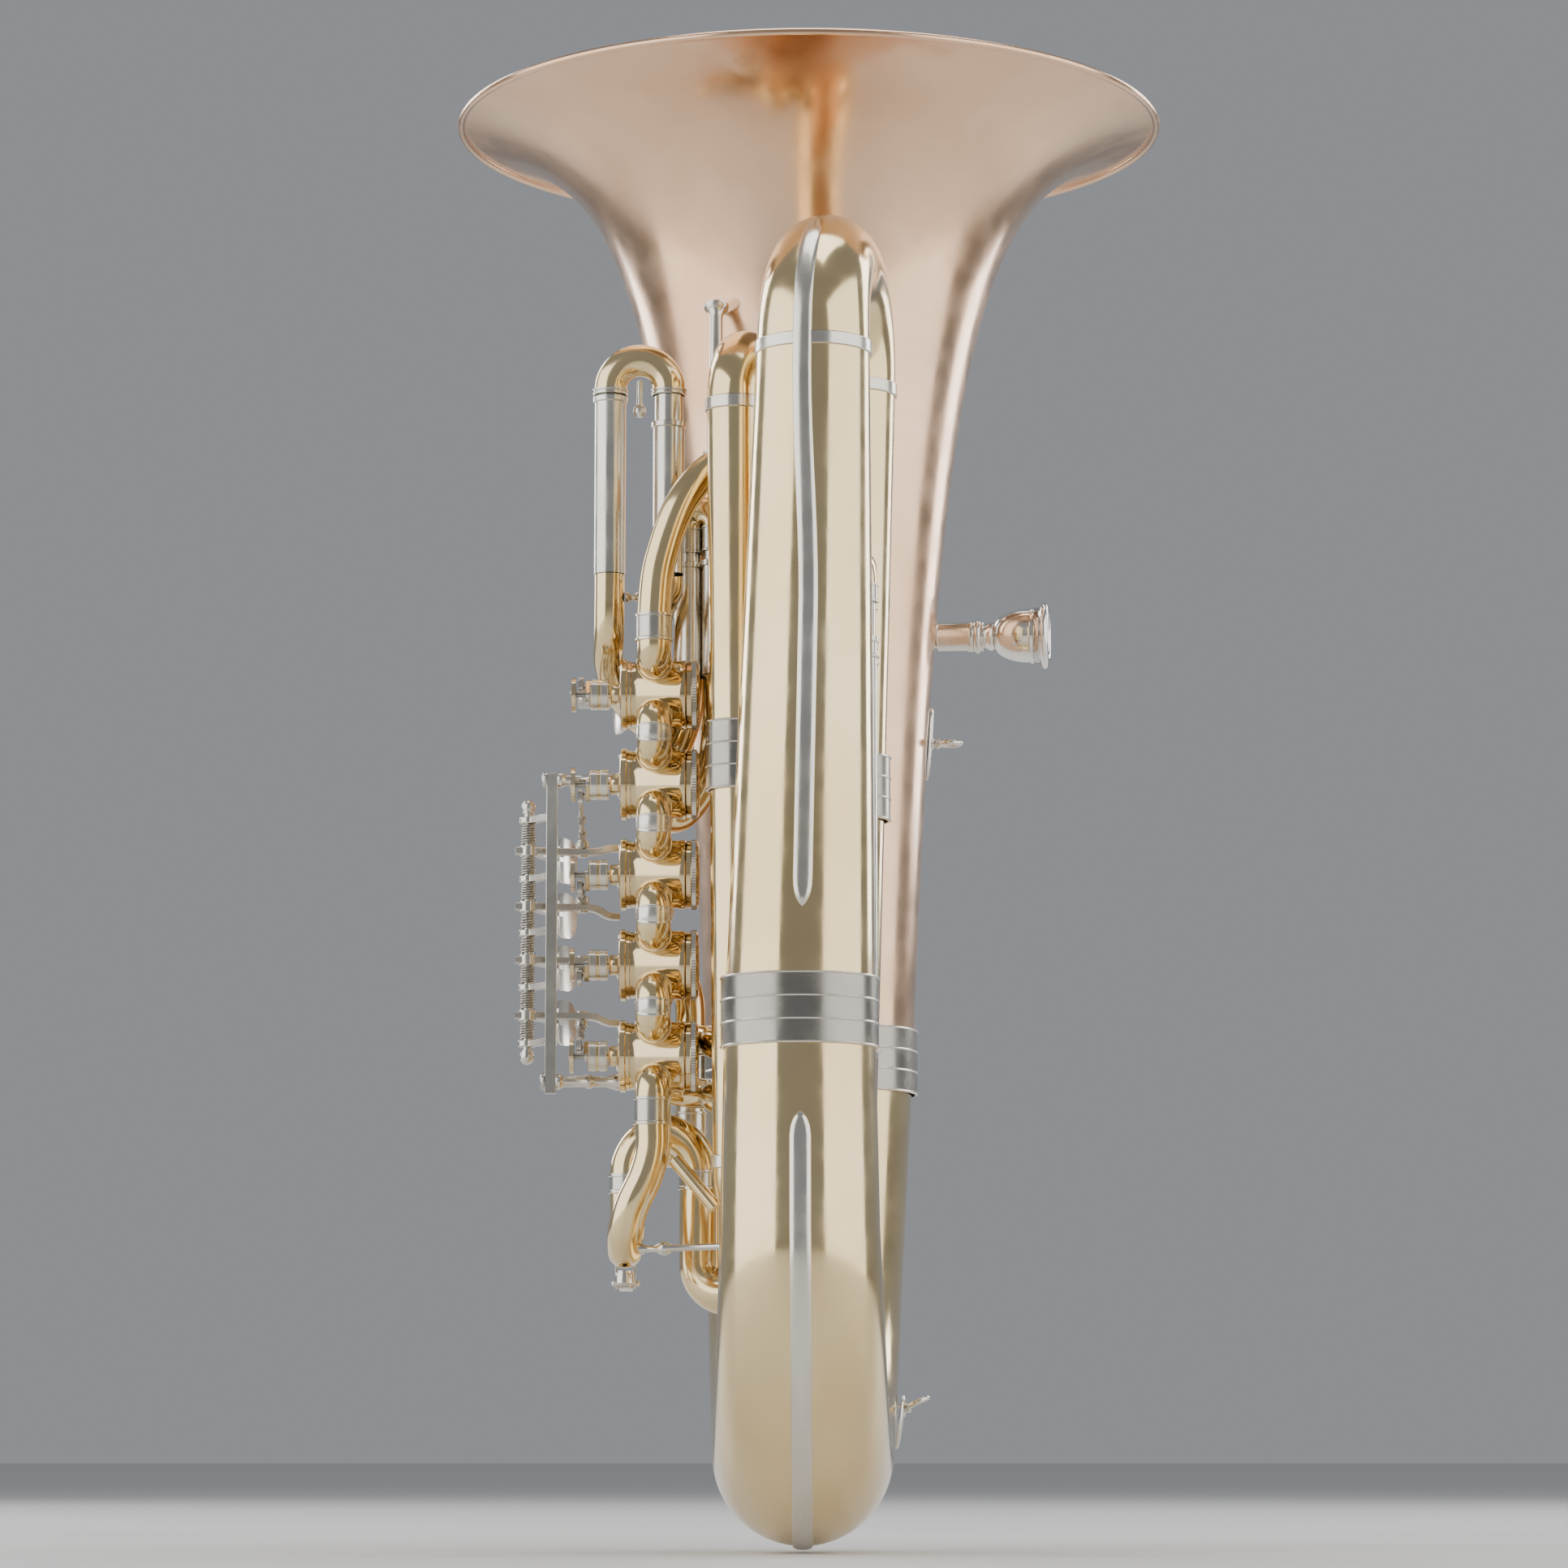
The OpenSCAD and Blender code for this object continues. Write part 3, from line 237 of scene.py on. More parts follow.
class Piece:
    """One Blender object, made of several solids in as many materials as it needs."""

    def __init__(self, name, body=HORN):
        self.name, self.body = name, body
        self.bm = bmesh.new()
        self.mats, self.current = [], 0

    def use(self, mat):
        if mat not in self.mats:
            self.mats.append(mat)
        self.current = self.mats.index(mat)
        return self

    def skin(self, rings, loop=False):
        """Faces over a list of rings of points; loop joins the last to the first, else both ends close."""
        made = [[self.bm.verts.new(p) for p in ring] for ring in rings]
        n = len(rings[0])
        pairs = list(zip(made, made[1:])) + ([(made[-1], made[0])] if loop else [])
        faces = []
        for low, high in pairs:
            for k in range(n):
                j = (k + 1) % n
                quad = [low[k], low[j], high[j], high[k]]
                faces.append(self.bm.faces.new(quad))
        if not loop:
            faces.append(self.bm.faces.new(made[0][::-1]))
            faces.append(self.bm.faces.new(made[-1]))
        for f in faces:
            f.material_index = self.current
        return self

    def lathe(self, profile, at=(0, 0, 0), axis=Z, n=64, loop=False):
        """profile is (radius, height) points along the axis; a zero radius closes an end."""
        turn = Z.rotation_difference(Vector(axis)).to_matrix()
        at = Vector(at)
        rings = []
        for r, h in profile:
            rings.append([at + turn @ Vector((max(r, 0.001) * math.cos(w), max(r, 0.001) * math.sin(w), h))
                          for w in (2 * math.pi * k / n for k in range(n))])
        return self.skin(rings, loop)

    def shell(self, outer, inner, at=(0, 0, 0), axis=Z, n=64):
        """A lathe with a bore: outer going up, then inner coming down."""
        return self.lathe(list(outer) + list(reversed(inner)), at, axis, n, loop=True)

    def sweep(self, path, radii, n=32):
        """A round bar along a path; radii is one radius, or one for each point."""
        path = [Vector(p) for p in path]
        radii = radii if isinstance(radii, (list, tuple)) else [radii] * len(path)
        rings = []
        for p, t, s, r in zip(path, tangents(path), carried(path), radii):
            u = t.cross(s)
            outline = [(math.cos(w), math.sin(w)) for w in (2 * math.pi * k / n for k in range(n))]
            rings.append([p + r * (a * s + b * u) for a, b in outline])
        return self.skin(rings)

    def rod(self, a, b, r, n=24):
        return self.sweep([Vector(a), Vector(b)], [r, r], n)

    def ball(self, at, r, n=24):
        turns = [math.pi * i / 12 for i in range(13)]
        return self.lathe([(r * math.sin(w), -r * math.cos(w)) for w in turns], at, Z, n)

    def torus(self, at, axis, ring_r, wire_r, n=64, around=16):
        profile = [(ring_r + wire_r * math.cos(w), wire_r * math.sin(w))
                   for w in (2 * math.pi * k / around for k in range(around))]
        return self.lathe(profile, at, axis, n, loop=True)

    def slab(self, centre, size, turn=0.0):
        """A box turned about Z; the bevel modifier rounds it."""
        m = Matrix.Translation(Vector(centre)) @ Matrix.Rotation(turn, 4, "Z")
        m = m @ Matrix.Diagonal((*size, 1))
        made = bmesh.ops.create_cube(self.bm, size=1, matrix=m)
        for f in {f for v in made["verts"] for f in v.link_faces}:
            f.material_index = self.current
        return self

    def done(self, *nodes, slot="nickel", bevel=0.0, sharp=40):
        bmesh.ops.recalc_face_normals(self.bm, faces=self.bm.faces)
        bmesh.ops.scale(self.bm, vec=(MM, MM, MM), verts=self.bm.verts)
        mesh = bpy.data.meshes.new(self.name)
        self.bm.to_mesh(mesh)
        self.bm.free()
        for mat in self.mats:
            mesh.materials.append(mat)
        mesh.shade_smooth()
        mesh.set_sharp_from_angle(angle=math.radians(sharp))
        obj = bpy.data.objects.new(self.name, mesh)
        bpy.context.scene.collection.objects.link(obj)
        if bevel:
            mod = obj.modifiers.new("bevel", "BEVEL")
            mod.width, mod.segments, mod.limit_method = bevel * MM, 2, "ANGLE"
            mod.angle_limit = math.radians(sharp)
            mod.harden_normals = False
        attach(obj, self.body)
        if nodes:
            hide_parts(*nodes)


def lipped(r_in, r_out, h, lip=0.5, width=1.2):
    """Outer and inner outlines of a sleeve with a small rounded lip at both ends."""
    outer = [(r_out, 0), (r_out + lip, 0.25), (r_out + lip, width), (r_out, width + 0.4),
             (r_out, h - width - 0.4), (r_out + lip, h - width), (r_out + lip, h - 0.25), (r_out, h)]
    return outer, [(r_in, 0), (r_in, h)]


def banded(r_in, h, lines=4):
    """Outlines of a wide sleeve: flat bands parted by fine raised lines."""
    outer = []
    for k in range(lines):
        z = lerp(0.5, h - 0.5, k / (lines - 1))
        outer += [(r_in + 1.1, z - 0.5), (r_in + 1.4, z - 0.4), (r_in + 1.6, z), (r_in + 1.4, z + 0.4),
                  (r_in + 1.1, z + 0.5)]
    return outer, [(r_in, 0), (r_in, h)]


def knurled(piece, at, axis, r, h, teeth=72, depth=0.35):
    """A ring with straight knurls and chamfered edges."""
    turn = Z.rotation_difference(Vector(axis)).to_matrix()
    rings = []
    for z, inset in ((0, depth + 0.3), (0.35, 0), (h - 0.35, 0), (h, depth + 0.3)):
        ring = []
        for k in range(teeth * 2):
            w = math.pi * k / teeth
            rr = r - inset - (depth if k % 2 and not inset else 0)
            ring.append(Vector(at) + turn @ Vector((rr * math.cos(w), rr * math.sin(w), z)))
        rings.append(ring)
    return piece.skin(rings)


# ---------------------------------------------------------------- bell and wide tubing
BEAD_R = 1.8
BELL_TOP = RIM_TOP - BEAD_R
FLARE_R = RIM_R - 2 * BEAD_R - 0.1
FLARE_OFFSET, FLARE_POWER = 16.7, 0.3667


def bell_r(z):
    return FLARE_R * (FLARE_OFFSET / (FLARE_OFFSET + BELL_TOP - z)) ** FLARE_POWER


def bell():
    steps = 90
    zs = [BELL_FOOT + (BELL_TOP - BELL_FOOT) * (1 - (1 - i / steps) ** 2.4) for i in range(steps + 1)]
    outer = [(bell_r(z), z) for z in zs]
    inner = [(bell_r(z) - 0.8, z) for z in zs]
    flare = Piece("bell_flare").use(GOLD_BRASS).shell(outer, inner, (0, BELL_Y, 0), n=256)
    flare.done("bell", slot="gold_brass")
    rim = Piece("bell_rim").use(GOLD_BRASS)
    rim.torus((0, BELL_Y, BELL_TOP), Z, RIM_R - BEAD_R, BEAD_R, n=256, around=20)
    rim.done("rim_wire", slot="gold_brass")
    cuff = Piece("bell_cuff").use(NICKEL).shell(*banded(bell_r(238) + 0.3, 30), (0, BELL_Y, 208), n=160)
    cuff.done("bell_ferrule")


def bow_line(steps=56):
    path = [Vector((LEG_X, BRANCH_Y, z)) for z in (BRANCH_FOOT, 205, 180, 158)]
    radii = [BRANCH_FOOT_R, 32.8, 33.3, 33.8]
    for i in range(steps + 1):
        w = math.pi * i / steps
        path.append(Vector((LEG_X + BOW_SHIFT * i / steps,
                            (BELL_Y + BRANCH_Y) / 2 - BOW_BEND_R * math.cos(w),
                            BOW_Z - BOW_BEND_R * math.sin(w))))
        radii.append(lerp(BOW_IN_R, BOW_OUT_R, i / steps))
    for t in (0.33, 0.66, 1.0):
        path.append(Vector((lerp(LEG_X + BOW_SHIFT, 0, t), BELL_Y, lerp(BOW_Z, BELL_FOOT, t))))
        radii.append(lerp(BOW_OUT_R, bell_r(BELL_FOOT), t))
    return path, radii


def wide_tubing():
    path, radii = bow_line()
    Piece("bow_bottom").use(BRASS).sweep(path, radii, 96).done("bottom_bow", slot="yellow_brass")
    cuff = Piece("bow_cuff").use(NICKEL).shell(*banded(32.8, 30.5), (LEG_X, BRANCH_Y, 214), n=120)
    cuff.done("bow_ferrule")

    def leg(name, node, low, r_low, high, r_high):
        steps = [i / 8 for i in range(9)]
        line = [Vector(low).lerp(Vector(high), t) for t in steps]
        Piece(name).use(BRASS).sweep(line, tapered(line, r_low, r_high), 72).done(node, slot="yellow_brass")

    def bow(name, node, a, b, z, up, r_a, r_b, before=()):
        line = list(before) + half_bend(a, b, z, up)
        Piece(name).use(BRASS).sweep(line, tapered(line, r_a, r_b), 64).done(node, slot="yellow_brass")

    leg("branch_outer", "outer_branch", (LEG_X, BRANCH_Y, BRANCH_FOOT + 0.6), BRANCH_FOOT_R,
        (LEG_TOP_X, BRANCH_Y, BRANCH_TOP), BRANCH_TOP_R)
    bow("bow_top", "top_bow", (LEG_TOP_X, BRANCH_Y), PLAYER_TOP, BRANCH_TOP, 1, BRANCH_TOP_R, PLAYER_TOP_R)
    leg("branch_player", "player_branch", (*PLAYER_FOOT, RETURN_Z), PLAYER_FOOT_R,
        (*PLAYER_TOP, BRANCH_TOP), PLAYER_TOP_R)
    bow("bow_return", "return_bow", PLAYER_FOOT, FRONT_FOOT, RETURN_Z, -1, PLAYER_FOOT_R, FRONT_FOOT_R)
    leg("branch_front", "front_branch", (*FRONT_FOOT, RETURN_Z), FRONT_FOOT_R,
        (*FRONT_TOP, FRONT_TOP_Z), FRONT_TOP_R)
    bow("bow_front_top", "front_top_bow", FRONT_TOP, INNER, FRONT_TOP_Z, 1, FRONT_TOP_R, INNER_TOP_R)
    leg("branch_inner", "inner_branch", (*INNER, INNER_BOW_Z), INNER_FOOT_R,
        (*INNER, FRONT_TOP_Z), INNER_TOP_R)
    bow("bow_inner", "inner_bow", INNER_START, INNER, INNER_BOW_Z, -1, INNER_START_R, INNER_FOOT_R,
        [Vector((*INNER_START, OUTLET_END_Z))])

    cuffs = Piece("branch_cuffs").use(NICKEL)
    cuffs.shell(*banded(18.1, 29), (16.7, -77.3, 323), n=96)
    cuffs.shell(*banded(13.2, 31), (-32.1, -101, 333.5), n=96)
    cuffs.done("branch_ferrules")

    seams = Piece("seam_rings").use(NICKEL)
    for (x, y), r, z in (((LEG_TOP_X, BRANCH_Y), 24.9, BRANCH_TOP - 6), (PLAYER_TOP, 20.5, BRANCH_TOP - 6),
                         (PLAYER_FOOT, 14.5, RETURN_Z), (FRONT_FOOT, 12.3, RETURN_Z),
                         (FRONT_TOP, 13.4, FRONT_TOP_Z - 6), (INNER, 12, FRONT_TOP_Z - 6),
                         (INNER, 11.1, INNER_BOW_Z)):
        seams.shell([(r + 0.1, 0), (r + 0.75, 0.5), (r + 0.75, 5.5), (r + 0.1, 6)],
                    [(r - 0.6, 0), (r - 0.6, 6)], (x, y, z), n=72)
    seams.done()


# The upper strip turns from the branch's near side into the top bow's plane over this height.
BLEND_FROM, BLEND_SPAN = 400, 121
STRIP_W = 8.3


def guards():
    """Half-round strips on the outer side of the branch and of the bottom bow."""
    def half_round(path, outs, widths):
        rings = []
        for p, t, out, w in zip(path, tangents(path), outs, widths):
            across = out.cross(t).normalized()
            arc = [math.pi * k / 16 for k in range(17)]
            rings.append([p + across * w / 2 * math.cos(a) + out * 1.7 * min(1, w / 5) * math.sin(a)
                          for a in arc]
                         + [p - across * w / 2 - out * 0.3, p + across * w / 2 - out * 0.3])
        return rings

    strips = Piece("guards").use(NICKEL)
    zs = [272, 273.5, 275.5, 278, 281, 285] + [lerp(290, 521, i / 16) for i in range(17)]
    widths = [0.6, 3.4, 5.4, 7, 8, STRIP_W] + [STRIP_W] * 17
    a, b = Vector((LEG_TOP_X, BRANCH_Y, BRANCH_TOP)), Vector((*PLAYER_TOP, BRANCH_TOP))
    middle, bend_r, over = (a + b) / 2, (b - a).length / 2, (b - a).normalized()
    path, outs = [], []
    for z in zs:
        t = (z - BRANCH_FOOT) / (BRANCH_TOP - BRANCH_FOOT)
        u = min(max((z - BLEND_FROM) / BLEND_SPAN, 0), 1)
        out = (-Y).lerp(-over, u * u * (3 - 2 * u)).normalized()
        path.append(Vector((lerp(LEG_X, LEG_TOP_X, t), BRANCH_Y, z))
                    + out * (lerp(BRANCH_FOOT_R, BRANCH_TOP_R, t) + 0.05))
        outs.append(out)
    for deg in range(5, 61, 5):
        w = math.radians(deg)
        out = -math.cos(w) * over + math.sin(w) * Z
        path.append(middle + (bend_r + lerp(BRANCH_TOP_R, PLAYER_TOP_R, deg / 180)) * out)
        outs.append(out)
        widths.append(STRIP_W - max(0, deg - 48) * 0.6)
    strips.skin(half_round(path, outs, widths))

    path, outs, widths = [], [], []
    for z, w in ((185, 0.6), (183.6, 3.5), (181.8, 6), (179, 8), (175, 9), (165, 9), (150, 9)):
        r = lerp(BOW_IN_R, BRANCH_FOOT_R, (z - BOW_Z) / (BRANCH_FOOT - BOW_Z))
        path.append(Vector((LEG_X, BRANCH_Y - r, z)))
        outs.append(-Y)
        widths.append(w)
    for deg in range(0, 109, 4):
        w = math.radians(deg)
        out = Vector((0, -math.cos(w), -math.sin(w)))
        centre = Vector((LEG_X + BOW_SHIFT * deg / 180, (BELL_Y + BRANCH_Y) / 2, BOW_Z))
        path.append(centre + (BOW_BEND_R + lerp(BOW_IN_R, BOW_OUT_R, deg / 180)) * out)
        outs.append(out)
        widths.append(9)
    strips.skin(half_round(path, outs, widths))
    strips.done("guard_strips")


# ---------------------------------------------------------------- leadpipe and mouthpiece
MOUTH_TURN = math.radians(6)
MOUTH_AXIS = Vector((math.cos(MOUTH_TURN), -math.sin(MOUTH_TURN), 0))
RECEIVER = Vector((62, BELL_Y + 60, 435))


def leadpipe():
    y, row_y = BELL_Y, NEAR_Y - CROOK_R
    path = spline([RECEIVER, (44, y + 65, 433), (16, y + 70, 429), (-22, y + 65, 420), (-52, y + 45, 402),
                   (-68, y + 12, 387), (-66, y - 22, 388), (-50, y - 48, 397), (-33.7, -29.7, 408),
                   (-17, -37, 420), (-6, -47, 434), (-3.4, -58.3, 448), (-6.5, -64.6, 455), (-10, -72, 463),
                   (-17, -78, 477), (-28, -78.5, 486), (-43, -80, 485), (-58, -85, 467),
                   (-67.5, row_y, 440), (VALVE_X, row_y, 418), (VALVE_X, row_y, 404.2)])
    tube = Piece("lead_pipe").use(BRASS).sweep(path, tapered(path, 5.2, 7.7), 36)
    tube.done("leadpipe", slot="yellow_brass")
    ring = Piece("receiver").use(NICKEL)
    ring.shell([(6.4, 0), (6.9, 0.5), (7, 14.5), (7.5, 15.2), (7.6, 17.2), (7.2, 17.8), (8.0, 18.4),
                (8.4, 19.2), (8.4, 20.0), (8.0, 20.8), (7.4, 21.2), (7.4, 22.3),
                (7.1, 22.6)], [(5.65, 0), (5.65, 22.6)],
               RECEIVER + 0.6 * MOUTH_AXIS, MOUTH_AXIS)
    ring.done("mouthpiece_receiver")
    shank, rim = 24, 53
    outer = [(5.0, 0), (5.6, 0.6), (5.6, shank - 3), (6.1, shank - 1.4), (7.0, shank), (7.2, shank + 1),
             (6.6, shank + 2)]
    outer += [(6.3 + 6.9 * math.sin(w) ** 1.2, shank + 2.5 + 16.5 * (1 - math.cos(w)))
              for w in (math.pi / 2 * i / 14 for i in range(15))]
    outer += [(13.3, rim - 9.2), (13.9, rim - 8.9), (13.9, rim - 7.6), (13.4, rim - 7.2), (13.7, rim - 5),
              (14.6, rim - 4.1), (15.9, rim - 3.7), (16.5, rim - 2.8), (16.5, rim - 1.9), (16.0, rim - 0.9),
              (14.9, rim - 0.2), (13.5, rim), (12.3, rim - 0.4), (11.6, rim - 1.3)]
    inner = [(11.2 * math.cos(w) ** 0.8 + 2.0, rim - 2.2 - 17 * math.sin(w))
             for w in (math.pi / 2 * i / 14 for i in range(14))] + [(2.2, rim - 20), (3.2, 0)]
    cup = Piece("mouthpiece_cup", "mouthpiece").use(SILVER)
    cup.lathe(outer + inner, RECEIVER + 2 * MOUTH_AXIS, MOUTH_AXIS, 128, loop=True)
    cup.done("mouthpiece", slot="silver")


def outlet():
    y = NEAR_Y - CROOK_R
    path = spline([(VALVE_X, y, 198), (VALVE_X, y, 189), (VALVE_X, y, 176), (-73, y, 164),
                   (-79, y + 0.5, 151), (-82, -82, 140), (-82.5, -74, 133.5), (-82.5, -66, 132),
                   (-82.5, -56, 136), (-82, -50, 148), (-82, -48, 160), (-81.5, -46.5, 172),
                   (-76, -45, 181.5), (-66, -44.5, 186), (-56, -44, 181.5), (-50.5, -44, 172),
                   (*INNER_START, OUTLET_END_Z)])
    tube = Piece("outlet_pipe").use(BRASS).sweep(path, tapered(path, 7.6, 8.3), 40)
    tube.done("outlet_tube", slot="yellow_brass")
    cuffs = Piece("row_end_cuffs").use(NICKEL)
    for z, r in ((403.2, 8.1), (186.4, 8.1)):
        cuffs.shell(*lipped(r - 0.3, r, 12.5), (VALVE_X, y, z), n=48)
    for (px, py, pz), r in (((-82, -48.8, 158), 8.1), ((*INNER_START, OUTLET_END_Z), 9.0)):
        cuffs.shell(*lipped(r - 0.4, r + 0.2, 9), (px, py, pz), n=48)
    cuffs.done("tube_ferrules")


# ---------------------------------------------------------------- valves
def crank_way(n):
    """Up (1) or down (-1): the side of rotor n's axis on which its crank ball stands at rest."""
    return 1 if n >= 4 else -1


def valves():
    for n in range(1, 6):
        centre = Vector((0, VALVE_Y, VALVE_Z[n]))
        shell = Piece(f"valve_casing_{n}").use(TURNED)
        front = CASING_FACE
        shell.lathe([(2.1, front - 4.6), (4.3, front - 4.6), (4.7, front - 4.1), (4.7, front - 0.9),
                     (5.6, front - 0.2), (7.5, front), (9.2, front), (9.5, front + 0.25), (9.8, front),
                     (15.7, front), (16.3, front + 0.5), (16.3, front + 2.6), (15.9, front + 3),
                     (15.4, front + 3.1), (15.4, front + 4.6), (15.1, front + 4.9), (15.1, front + 7.5),
                     (15.4, front + 7.9), (15.4, CASING_BACK - 3.4), (15.7, CASING_BACK - 3),
                     (15.7, CASING_BACK - 0.4), (15.2, CASING_BACK), (2.1, CASING_BACK)], centre, X, 96)
        for side in (-1, 1):
            for half in (-1, 1):
                foot = centre + Vector((VALVE_X, side * 6, half * PORT_Z))
                shell.lathe([(7.75, 0), (7.75, 7.4), (8.25, 7.9), (8.25, 10.2), (7.9, 10.7), (6.9, 10.9),
                             (6.9, 2)],
                            foot, side * Y, 48)
        shell.done(f"casing_{n}", slot="casing_brass")

        screws = Piece(f"bearing_screws_{n}").use(NICKEL)
        for k in range(3):
            w = math.radians(90 + 120 * k)
            at = centre + Vector((front, 12.4 * math.cos(w), 12.4 * math.sin(w)))
            screws.lathe([(1.5, 0), (1.5, 0.5), (1.1, 0.9), (0, 1.0)], at, -X, 20)
        screws.done()

    caps = Piece("rear_caps").use(TURNED)
    for n in range(1, 6):
        centre = Vector((0, VALVE_Y, VALVE_Z[n]))
        caps.use(TURNED).lathe([(14.8, CASING_BACK + 0.1), (15.2, CASING_BACK + 0.4),
                                (15.2, CASING_BACK + 2.4), (14.6, CASING_BACK + 2.6)], centre, X, 96)
        knurled(caps.use(NICKEL), centre + X * (CASING_BACK + 2.4), X, 15.9, 2.6, 80)
        caps.use(TURNED).lathe([(14.8, CASING_BACK + 4.9), (14.6, CASING_BACK + 5.6),
                                (13.4, CASING_BACK + 6), (10, CASING_BACK + 6), (9.6, CASING_BACK + 5.5),
                                (5, CASING_BACK + 5.5), (4.6, CASING_BACK + 6),
                                (0, CASING_BACK + 6)], centre, X, 96)
    caps.done("valve_caps")

    bends = Piece("valve_crooks").use(BRASS)
    rows = sorted(VALVE_Z.values(), reverse=True)
    rings = Piece("valve_crook_rings").use(NICKEL)

    def arc(z, start, stop, steps=24):
        turns = [math.radians(lerp(start, stop, i / steps)) for i in range(steps + 1)]
        return [Vector((VALVE_X, NEAR_Y - CROOK_R * math.cos(w), z + CROOK_R * math.sin(w))) for w in turns]

    for above, below in zip(rows, rows[1:]):
        z = (above + below) / 2
        bends.sweep(arc(z, -90, 90), CROOK_TUBE_R, 40)
        rings.sweep(arc(z, -20, 12), [7.95, 8.2, 8.2] + [7.95] * 19 + [8.2, 8.2, 7.95], 40)
    bends.sweep(arc(rows[0] + PORT_Z + CROOK_R, -90, 0), CROOK_TUBE_R, 40)
    bends.sweep(arc(rows[-1] - PORT_Z - CROOK_R, 0, 90), CROOK_TUBE_R, 40)
    bends.done("crooks", slot="yellow_brass")
    rings.done("crook_ferrules")

    for n in range(1, 6):
        centre = Vector((0, VALVE_Y, VALVE_Z[n]))
        trim = Piece(f"spindle_trim_{n}", f"rotor_{n}").use(NICKEL)
        trim.lathe([(0, -107.8), (7.6, -107.8), (7.9, -107.5), (7.9, -106.3), (7.6, -106), (1.22, -105.9),
                    (1.22, -101.6), (2.2, -101.4), (2.2, -99.5), (6.0, -99.7), (7.0, -99.0), (7.0, -96.2),
                    (6.6, -95.9), (6.6, -94.8), (7.0, -94.5), (7.0, -91.6), (6.4, -91.1),
                    (2.2, -91.1)], centre, X, 64)
        pin = Vector((0, CRANK_BALL, crank_way(n) * CRANK_BALL))
        trim.ball(centre + pin + CRANK_BALL_X * X, 1.5)
        trim.rod(centre + pin + CRANK_BALL_X * X, centre + pin - 100.2 * X, 0.9)
        trim.use(STEEL).lathe([(0, -108.6), (1.6, -108.6), (2.0, -108.3), (2.0, -107.7)], centre, X, 32)
        trim.done()


# ---------------------------------------------------------------- levers, links and carriage
def flat_bar(piece, path, wide, thick):
    """A strip laid along a path, wide across it and thick upward, with rounded edges."""
    e = 0.35
    section = [(wide / 2 - e, -thick / 2), (wide / 2, -thick / 2 + e), (wide / 2, thick / 2 - e),
               (wide / 2 - e, thick / 2), (-wide / 2 + e, thick / 2), (-wide / 2, thick / 2 - e),
               (-wide / 2, -thick / 2 + e), (-wide / 2 + e, -thick / 2)]
    path = [Vector(p) for p in path]
    rings = []
    for p, t in zip(path, tangents(path)):
        across = t.cross(Z).normalized()
        up = across.cross(t)
        rings.append([p + a * across + b * up for a, b in section])
    return piece.skin(rings)


def spatula(piece, centre, along, length, height, bulge=1.6, thick=1.5):
    """A finger plate: an upright oval, slightly hollowed, along a level direction."""
    across = along.cross(Z).normalized()
    rows, cols = 14, 32

    def face(shift):
        rings = []
        for i in range(rows + 1):
            q = max(i / rows, 0.001)
            ring = []
            for k in range(cols):
                w = 2 * math.pi * k / cols
                a = abs(math.cos(w)) ** 0.72 * math.copysign(1, math.cos(w)) * q
                b = abs(math.sin(w)) ** 0.72 * math.copysign(1, math.sin(w)) * q
                ring.append(centre + along * a * length / 2 + Z * b * height / 2
                            + across * (shift + bulge * (a * a * 0.8 + b * b * 0.2)))
            rings.append(ring)
        return rings
    rim = face(thick / 2)[-1]
    return piece.skin(face(-thick / 2) + [rim] + face(thick / 2)[::-1][1:])


